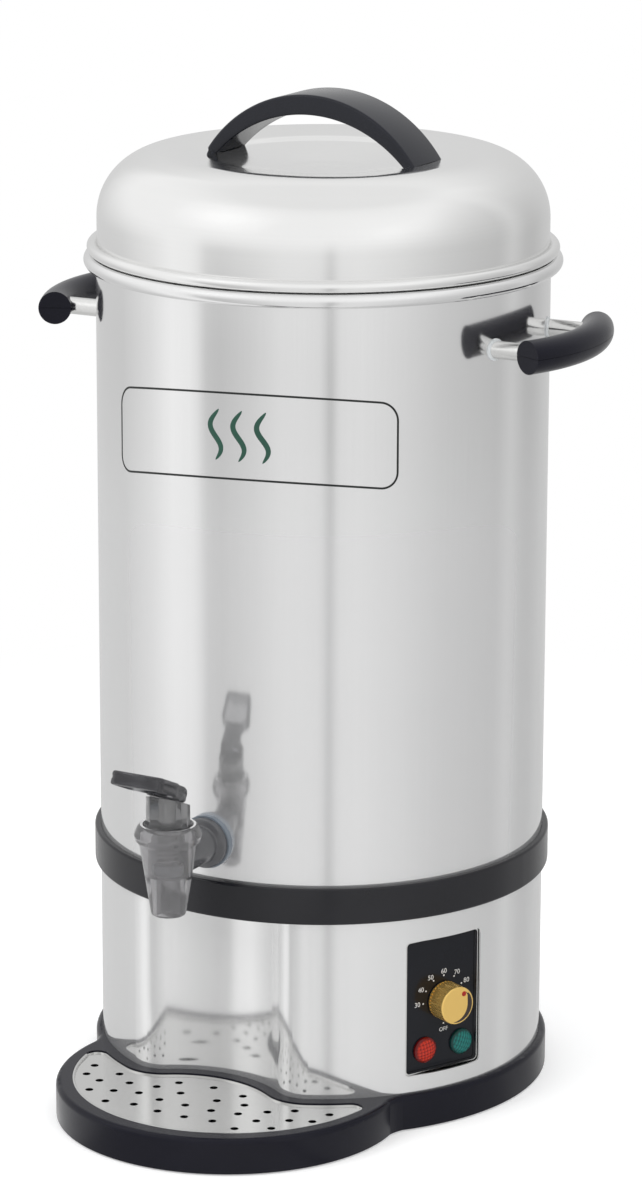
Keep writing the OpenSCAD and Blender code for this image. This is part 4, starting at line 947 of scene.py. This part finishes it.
label = {
    "fromDeg": -30.8, "toDeg": 48.0, "lowZ": 411.5 * mm, "highZ": 463.5 * mm, "corner": 10.5 * mm,
    "cornerSteps": 16, "line": 1.25 * mm, "proud": 0.14 * mm, "steps": 640, "bow": 7.7 * mm, "bowAtDeg": 14,
    "bowSpanDeg": 40, "waves": 3, "wavePitch": 15 * mm, "waveHeight": 31 * mm, "waveSwing": 3.6 * mm,
    "waveLine": 3.5 * mm, "waveThin": 0.75, "waveTurns": 1.1, "waveSteps": 60,
}
# a ridge's places across it, as shares of its width and of its height over the wall
ridge = {"across": (-0.5, -0.5, -0.42, 0.0, 0.42, 0.5, 0.5), "lift": (-0.3, 0.5, 0.95, 1.0, 0.95, 0.5, -0.3)}


def onTank(flat, lift):
    # wraps a flat sheet of (distance round the wall, height) on to the tank; distance 0 is straight ahead
    turn = flat[..., 0] / tankRadius
    away = tankRadius + lift
    return np.stack([away * np.sin(turn), -away * np.cos(turn), flat[..., 1]], -1)


def strokeOnTank(path, width, proud, closed):
    # a low ridge along a flat path: seven points across, highest in the middle, both edges let into the wall
    ahead = np.roll(path, -1, 0) - np.roll(path, 1, 0) if closed else np.gradient(path, axis=0)
    ahead = ahead / np.linalg.norm(ahead, axis=1, keepdims=True)
    side = np.stack([-ahead[:, 1], ahead[:, 0]], -1)
    across, lift = np.array(ridge["across"]), np.array(ridge["lift"]) * proud
    width = np.broadcast_to(np.asarray(width, float), len(path))
    flat = path[:, None] + side[:, None] * (across[None, :, None] * width[:, None, None])
    return onTank(flat, np.broadcast_to(lift, flat.shape[:2]))


def makeLabel(spec):
    # the outline at even steps along a rounded bar, and waves that swing as a sine and thin out at both ends
    left, right = (math.radians(spec[k]) * tankRadius for k in ("fromDeg", "toDeg"))
    middle = np.array([(left + right) / 2, (spec["lowZ"] + spec["highZ"]) / 2])
    outline = roundedBar(right - left, spec["highZ"] - spec["lowZ"], spec["corner"], spec["cornerSteps"])
    outline = np.concatenate([outline, outline[:1]])
    way = np.concatenate([[0], np.cumsum(np.linalg.norm(np.diff(outline, axis=0), axis=1))])
    even = np.linspace(0, way[-1], spec["steps"], endpoint=False)
    fine = np.stack([np.interp(even, way, outline[:, k]) for k in (0, 1)], -1) + middle
    # the field was printed flat, so it sinks to both sides with the square of the angle
    turn = np.degrees(fine[:, 0] / tankRadius)
    fine[:, 1] -= spec["bow"] * ((turn - spec["bowAtDeg"]) / spec["bowSpanDeg"]) ** 2
    frameLine = gridPiece("labelOutline", strokeOnTank(fine, spec["line"], spec["proud"], True), True, True)
    finishPiece(frameLine, "labelInk", "kettle")
    t = np.linspace(0, 1, spec["waveSteps"])
    ends = np.sqrt(np.clip(1 - (2 * t - 1) ** 4, 0.01, 1))
    thin = spec["waveThin"]
    width = ends * (thin + (1 - thin) * np.sin(t * math.pi)) * spec["waveLine"]
    sway = spec["waveSwing"] * np.sin(t * spec["waveTurns"] * fullTurn)
    grids = []
    for k in range(spec["waves"]):
        shift = (k - (spec["waves"] - 1) / 2) * spec["wavePitch"]
        path = np.stack([shift + sway, (t - 0.5) * spec["waveHeight"]], -1)
        grids.append((strokeOnTank(path + middle, width, spec["proud"], False), False, True))
    finishPiece(joinGrids("steamSign", grids), "signGreen", "kettle")


makeLabel(label)
print("label made")


# Dial: numbers and dots round the knob, on the panel's face

panelOut = np.array([math.sin(panelTurn), -math.cos(panelTurn), 0])
panelRight = np.array([math.cos(panelTurn), math.sin(panelTurn), 0])
panelFace = (meshPoints(nodes["control_panel"].data) @ panelOut).max()
knobZ = knobJoint["pos_m"][2]
dial = {
    "numbers": (("30", -90), ("40", -60), ("50", -30), ("60", 0), ("70", 30), ("80", 60), ("OFF", 180)),
    "numberHeight": 4.4 * mm, "numberOff": (4.4 * mm, 2.7 * mm), "curveSteps": 4, "offDeg": 180,
    "offGap": 1.2 * mm, "offScale": 0.85, "proud": 0.06 * mm, "clear": 0.02 * mm, "weld": 1e-7,
    "dotRadius": 15.6 * mm, "dotSize": 0.55 * mm, "dotCols": 24, "lastDotDeg": 90,
    "dotRows": ((0.0, 0.01), (1.0, 0.01), (1.0, 1.0), (0.0, 1.0)),  # shares of a dot's radius and height
}


def onPanel(flat, lift):
    # flat (right, up) places about the knob's axis, carried to the panel's face
    foot = panelOut * panelFace + upAxis * knobZ
    place = foot + flat[..., :1] * panelRight + flat[..., 1:2] * upAxis
    return place + np.asarray(lift)[..., None] * panelOut


def faceLift(node):
    # how far a node stands out from the panel's face
    return (meshPoints(nodes[node].data) @ panelOut).max() - panelFace


def clockWay(clockDeg):
    # flat direction at a clock angle: 0 is up, 90 to the right
    return np.array([math.sin(math.radians(clockDeg)), math.cos(math.radians(clockDeg))])


def textMesh(text, height, deep, curveSteps):
    # points and faces of a short text, centred and extruded
    curve = bpy.data.curves.new("dialText", "FONT")
    curve.body = text
    curve.size = height
    curve.extrude = deep
    curve.resolution_u = curveSteps
    curve.align_x, curve.align_y = "CENTER", "CENTER"
    holder = linkObject("dialText", curve)
    view = bpy.context.evaluated_depsgraph_get()
    mesh = bpy.data.meshes.new_from_object(holder.evaluated_get(view))
    faces = [list(face.vertices) for face in mesh.polygons]
    bpy.data.objects.remove(holder)
    return meshPoints(mesh), faces


def makeDial(spec):
    # each number stands outside its dot, further off sideways than upwards; a dot is a low disc
    points, faces, start = [], [], 0
    for text, clock in spec["numbers"]:
        isOff = clock == spec["offDeg"]
        height = spec["numberHeight"] * (spec["offScale"] if isOff else 1)
        letters, letterFaces = textMesh(text, height, spec["proud"] / 2, spec["curveSteps"])
        away = spec["dotRadius"] + (np.array(spec["numberOff"]) + (spec["offGap"] if isOff else 0))
        flat = letters[:, :2] + clockWay(clock) * away
        points.append(onPanel(flat, letters[:, 2] + spec["proud"] / 2 + spec["clear"]))
        faces += [[v + start for v in face] for face in letterFaces]
        start += len(letters)
    rows, cols = len(spec["dotRows"]), spec["dotCols"]
    disc = circle(cols) * spec["dotSize"]
    shares, heights = np.array(spec["dotRows"]).T
    lifts = np.broadcast_to(heights[:, None] * spec["proud"], (rows, cols))
    for clock in [c for _, c in spec["numbers"]] + [spec["lastDotDeg"]]:
        layers = shares[:, None, None] * disc[None] + clockWay(clock) * spec["dotRadius"]
        points.append(onPanel(layers, lifts).reshape(-1, 3))
        faces += (gridFaces(rows, cols, closeV=True) + start).tolist()
        start += rows * cols
    mesh = bpy.data.meshes.new("dialMarks")
    mesh.from_pydata(np.concatenate(points).tolist(), [], faces)
    welded = bmesh.new()
    welded.from_mesh(mesh)
    bmesh.ops.remove_doubles(welded, verts=welded.verts, dist=spec["weld"])
    welded.to_mesh(mesh)
    welded.free()
    mesh.update()
    return linkObject("dialMarks", mesh)


finishPiece(makeDial(dial), "markWhite", "kettle")
print("dial made")


# Knob: dark crescent and red dot let into its face

inlay = {
    "outer": 10.8 * mm, "widest": 3.3 * mm, "least": 0.02 * mm, "fromDeg": 48, "toDeg": 196,
    "skew": 0.62, "full": 0.8, "proud": 0.06 * mm, "sunk": 0.3 * mm, "steps": 80,
    "dotAtDeg": 34, "dotAway": 8.4 * mm, "dotRadius": 1.6 * mm, "dotProud": 0.2 * mm,
    "dotEdge": (0.15 * mm, 0.1 * mm), "dotCols": 40,
}


def makeInlays(spec):
    # crescent: a strip inside the rim whose width swells and dies away as a sine; dot: a low disc
    face, sunk, proud = faceLift("knob"), spec["sunk"], spec["proud"]
    t = np.linspace(0, 1, spec["steps"])
    clock = np.radians(spec["fromDeg"] + (spec["toDeg"] - spec["fromDeg"]) * t)
    width = spec["widest"] * np.sin(math.pi * t ** spec["skew"]) ** spec["full"] + spec["least"]
    rim, inside = np.full(spec["steps"], spec["outer"]), spec["outer"] - width
    radii = np.stack([rim, rim, inside, inside])
    lifts = np.broadcast_to(np.array([-sunk, proud, proud, -sunk])[:, None], radii.shape)
    strip = onPanel(radii[..., None] * np.stack([np.sin(clock), np.cos(clock)], -1)[None], face + lifts)
    crescent = gridPiece("knobCrescentInlay", strip, closeU=True)
    finishPiece(crescent, "inlayBrown", "knob")
    r, top, (inset, drop) = spec["dotRadius"], spec["dotProud"], spec["dotEdge"]
    rows = np.array([[0, top], [r - inset, top], [r, top - drop], [r, -sunk], [0, -sunk]])
    flat = rows[:, None, :1] * circle(spec["dotCols"])[None] + clockWay(spec["dotAtDeg"]) * spec["dotAway"]
    dot = onPanel(flat, face + np.broadcast_to(rows[:, 1:], flat.shape[:2]))
    finishPiece(gridPiece("knobDotInlay", dot, closeV=True), "dotRed", "knob")


makeInlays(inlay)
print("knob inlaid")


# Lamps: round lenses with two families of ribs

lens = {
    "radius": 7.5 * mm, "crown": 2.2 * mm, "cells": 97, "ribEnd": 0.97, "ribFade": 0.12, "sunk": 0.2 * mm,
    # share of the radius, and depth under the dome's edge
    "rim": ((1.0, 0.0), (1.07, 0.2 * mm), (1.09, 0.8 * mm)),
}
lenses = {
    "redLens": {"node": "red_lamp", "paint": "lensRed", "slot": "red_lens", "flute": 2.2 * mm,
                "fluteDepth": 0.45 * mm, "cross": 2.2 * mm, "crossDepth": 0.45 * mm, "slantDeg": 8},
    "greenLens": {"node": "green_lamp", "paint": "lensGreen", "slot": "green_lens", "flute": 1.9 * mm,
                  "fluteDepth": 0.5 * mm, "cross": 3.0 * mm, "crossDepth": 0.2 * mm, "slantDeg": -24},
}


def lensRibs(x, y, spec, ribs):
    # two families of rounded ribs, each the size of a sine of the way across it; they run out before the rim
    slant = math.radians(ribs["slantDeg"])
    over = (x * math.cos(slant) + y * math.sin(slant)) * spec["radius"] / ribs["flute"]
    along = (y * math.cos(slant) - x * math.sin(slant)) * spec["radius"] / ribs["cross"]
    height = ribs["fluteDepth"] * np.abs(np.sin(over * math.pi))
    height = height + ribs["crossDepth"] * np.abs(np.sin(along * math.pi))
    return height, np.clip((spec["ribEnd"] - np.hypot(x, y)) / spec["ribFade"], 0, 1)


def makeLens(name, spec, ribs):
    # a square of points drawn to a disc, domed, with the ribs on it; its wall goes down to the panel
    low, high = (np.array(corner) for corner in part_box(ribs["node"]))
    middle = (low + high) / 2
    centre = np.array([middle @ panelRight, middle[2] - knobZ])
    front = faceLift(ribs["node"])
    edge = front - spec["crown"]
    deep = ribs["fluteDepth"] + ribs["crossDepth"]
    u, v = np.meshgrid(*[np.linspace(-1, 1, spec["cells"])] * 2, indexing="ij")
    x, y = u * np.sqrt(1 - v * v / 2), v * np.sqrt(1 - u * u / 2)
    height, fade = lensRibs(x, y, spec, ribs)
    disc = np.stack([x, y], -1) * spec["radius"]
    dome = onPanel(disc + centre, front - spec["crown"] * np.hypot(x, y) ** 3 + (height - deep) * fade)
    # the disc's own edge points, in order, so that dome and wall meet point to point
    ring = np.concatenate([disc[0, :-1], disc[:-1, -1], disc[-1, :0:-1], disc[:0:-1, 0]])[::-1]
    profile = [(share, edge - under) for share, under in spec["rim"]]
    profile = np.array(profile + [(profile[-1][0], -spec["sunk"]), (0.0, -spec["sunk"])])
    wallFlat = profile[:, None, :1] * ring[None] + centre
    wall = onPanel(wallFlat, np.broadcast_to(profile[:, 1:], wallFlat.shape[:2]))
    piece = joinGrids(name, [(dome, False, False), (wall, False, True)], sharpDeg=60)
    # the share of a rib's height at each point, which the lens's colour follows: painted shade in the grooves
    # and on the rim wall
    points = meshPoints(piece.data)
    flatX = (points @ panelRight - centre[0]) / spec["radius"]
    flatY = (points[:, 2] - middle[2]) / spec["radius"]
    height, fade = lensRibs(flatX, flatY, spec, ribs)
    piece.data.attributes.new("ribHeight", "FLOAT", "POINT").data.foreach_set("value", height / deep * fade)
    return piece


for lensName, ribs in lenses.items():
    finishPiece(makeLens(lensName, lens, ribs), ribs["paint"], "kettle", [ribs["node"]])
print("lamps made")


# Handle feet: thin soft rings that follow the wall, and sleeves from there to the posts, in millimetres

handleFoot = {
    "sides": (("left", -87.6), ("right", 92.4)), "aside": 38.0, "height": tankHigh[2] / mm - 42.5,
    "wall": tank["wall"], "inside": tank["wall"] - tank["sheet"], "postFrom": 137.7, "postOver": 0.6,
    "innerSeat": 130.2, "innerRadius": 8.5, "innerSunk": 0.05, "ringRadius": 6.7, "ringThick": 1.2,
    "ringFace": 0.7, "ringEdge": 0.2, "ringSunk": 0.1, "sleeveRadius": 5.39, "sleeveInto": 0.3,
    "boreRadius": 3.1, "cols": 72,
}


def wallRing(azimuthDeg, aside, height, cols, rows):
    # rings about a level axis that meets the wall off centre; a row is (radius, wall radius, distance), and
    # where there is a wall radius the distance counts from that wall, so that the ring follows its curve
    a = math.radians(azimuthDeg)
    out, across = np.array([math.sin(a), -math.cos(a), 0]), np.array([math.cos(a), math.sin(a), 0])
    way = circle(cols)
    layers = []
    for radius, wall, away in rows:
        x = aside + radius * way[:, 0]
        foot = away + (np.sqrt(wall ** 2 - x ** 2) if wall else np.zeros(cols))
        z = height + radius * way[:, 1]
        layers.append(x[:, None] * across + foot[:, None] * out + z[:, None] * upAxis)
    return np.array(layers) * mm


def makeHandleFeet(spec):
    # closed ring sections: soft ring outside, soft seat inside, and the post's sleeve
    r, thick, wall, inside = spec["ringRadius"], spec["ringThick"], spec["wall"], spec["inside"]
    face, edge, sunk, innerSunk = spec["ringFace"], spec["ringEdge"], spec["ringSunk"], spec["innerSunk"]
    bore, sleeve = spec["boreRadius"], spec["sleeveRadius"]
    seat, wide = spec["innerSeat"], spec["innerRadius"]
    post, into = spec["postFrom"] + spec["postOver"], thick - spec["sleeveInto"]
    outer = [(bore, wall, thick), (r - face, wall, thick), (r - edge, wall, thick - edge),
             (r, wall, thick / 2), (r - edge, wall, -sunk), (bore, wall, -sunk)]
    inner = [(bore, inside, -innerSunk), (wide, inside, -innerSunk), (wide, None, seat), (bore, None, seat)]
    tube = [(bore, None, post), (sleeve, None, post), (sleeve, wall, into), (bore, wall, into)]
    for side, azimuthDeg in spec["sides"]:
        feet = [(azimuthDeg, way * spec["aside"], spec["height"], spec["cols"]) for way in (-1, 1)]
        rings = [(wallRing(*foot, rows), True, True) for foot in feet for rows in (outer, inner)]
        tubes = [(wallRing(*foot, tube), True, True) for foot in feet]
        wallRings = joinGrids(side + "WallRings", rings)
        sleeves = joinGrids(side + "PostSleeves", tubes)
        finishPiece(wallRings, "paleSilicone", "kettle", [side + "_washers"])
        finishPiece(sleeves, "brightSteel", "kettle")


makeHandleFeet(handleFoot)
print("handle feet made")


# Drip grid: the rolled front edge as a bright bead

gridBead = {
    "centreY": -111.5 * mm, "radius": 99.0 * mm, "height": 22.0 * mm, "bead": 1.05 * mm, "halfDeg": 81,
    "steps": 161, "round": 16,
}


def makeGridBead(spec):
    # a round section carried along the front arc, ends closed
    t = np.radians(np.linspace(-spec["halfDeg"], spec["halfDeg"], spec["steps"]))[:, None]
    section = circle(spec["round"]) * spec["bead"]
    away = spec["radius"] + section[:, 0]
    z = np.broadcast_to(spec["height"] + section[:, 1], (spec["steps"], spec["round"]))
    points = np.stack([np.sin(t) * away, spec["centreY"] - np.cos(t) * away, z], -1)
    return gridPiece("gridEdgeBead", capped(points), closeV=True)


finishPiece(makeGridBead(gridBead), "gridSteel", "grid")
print("grid bead made")
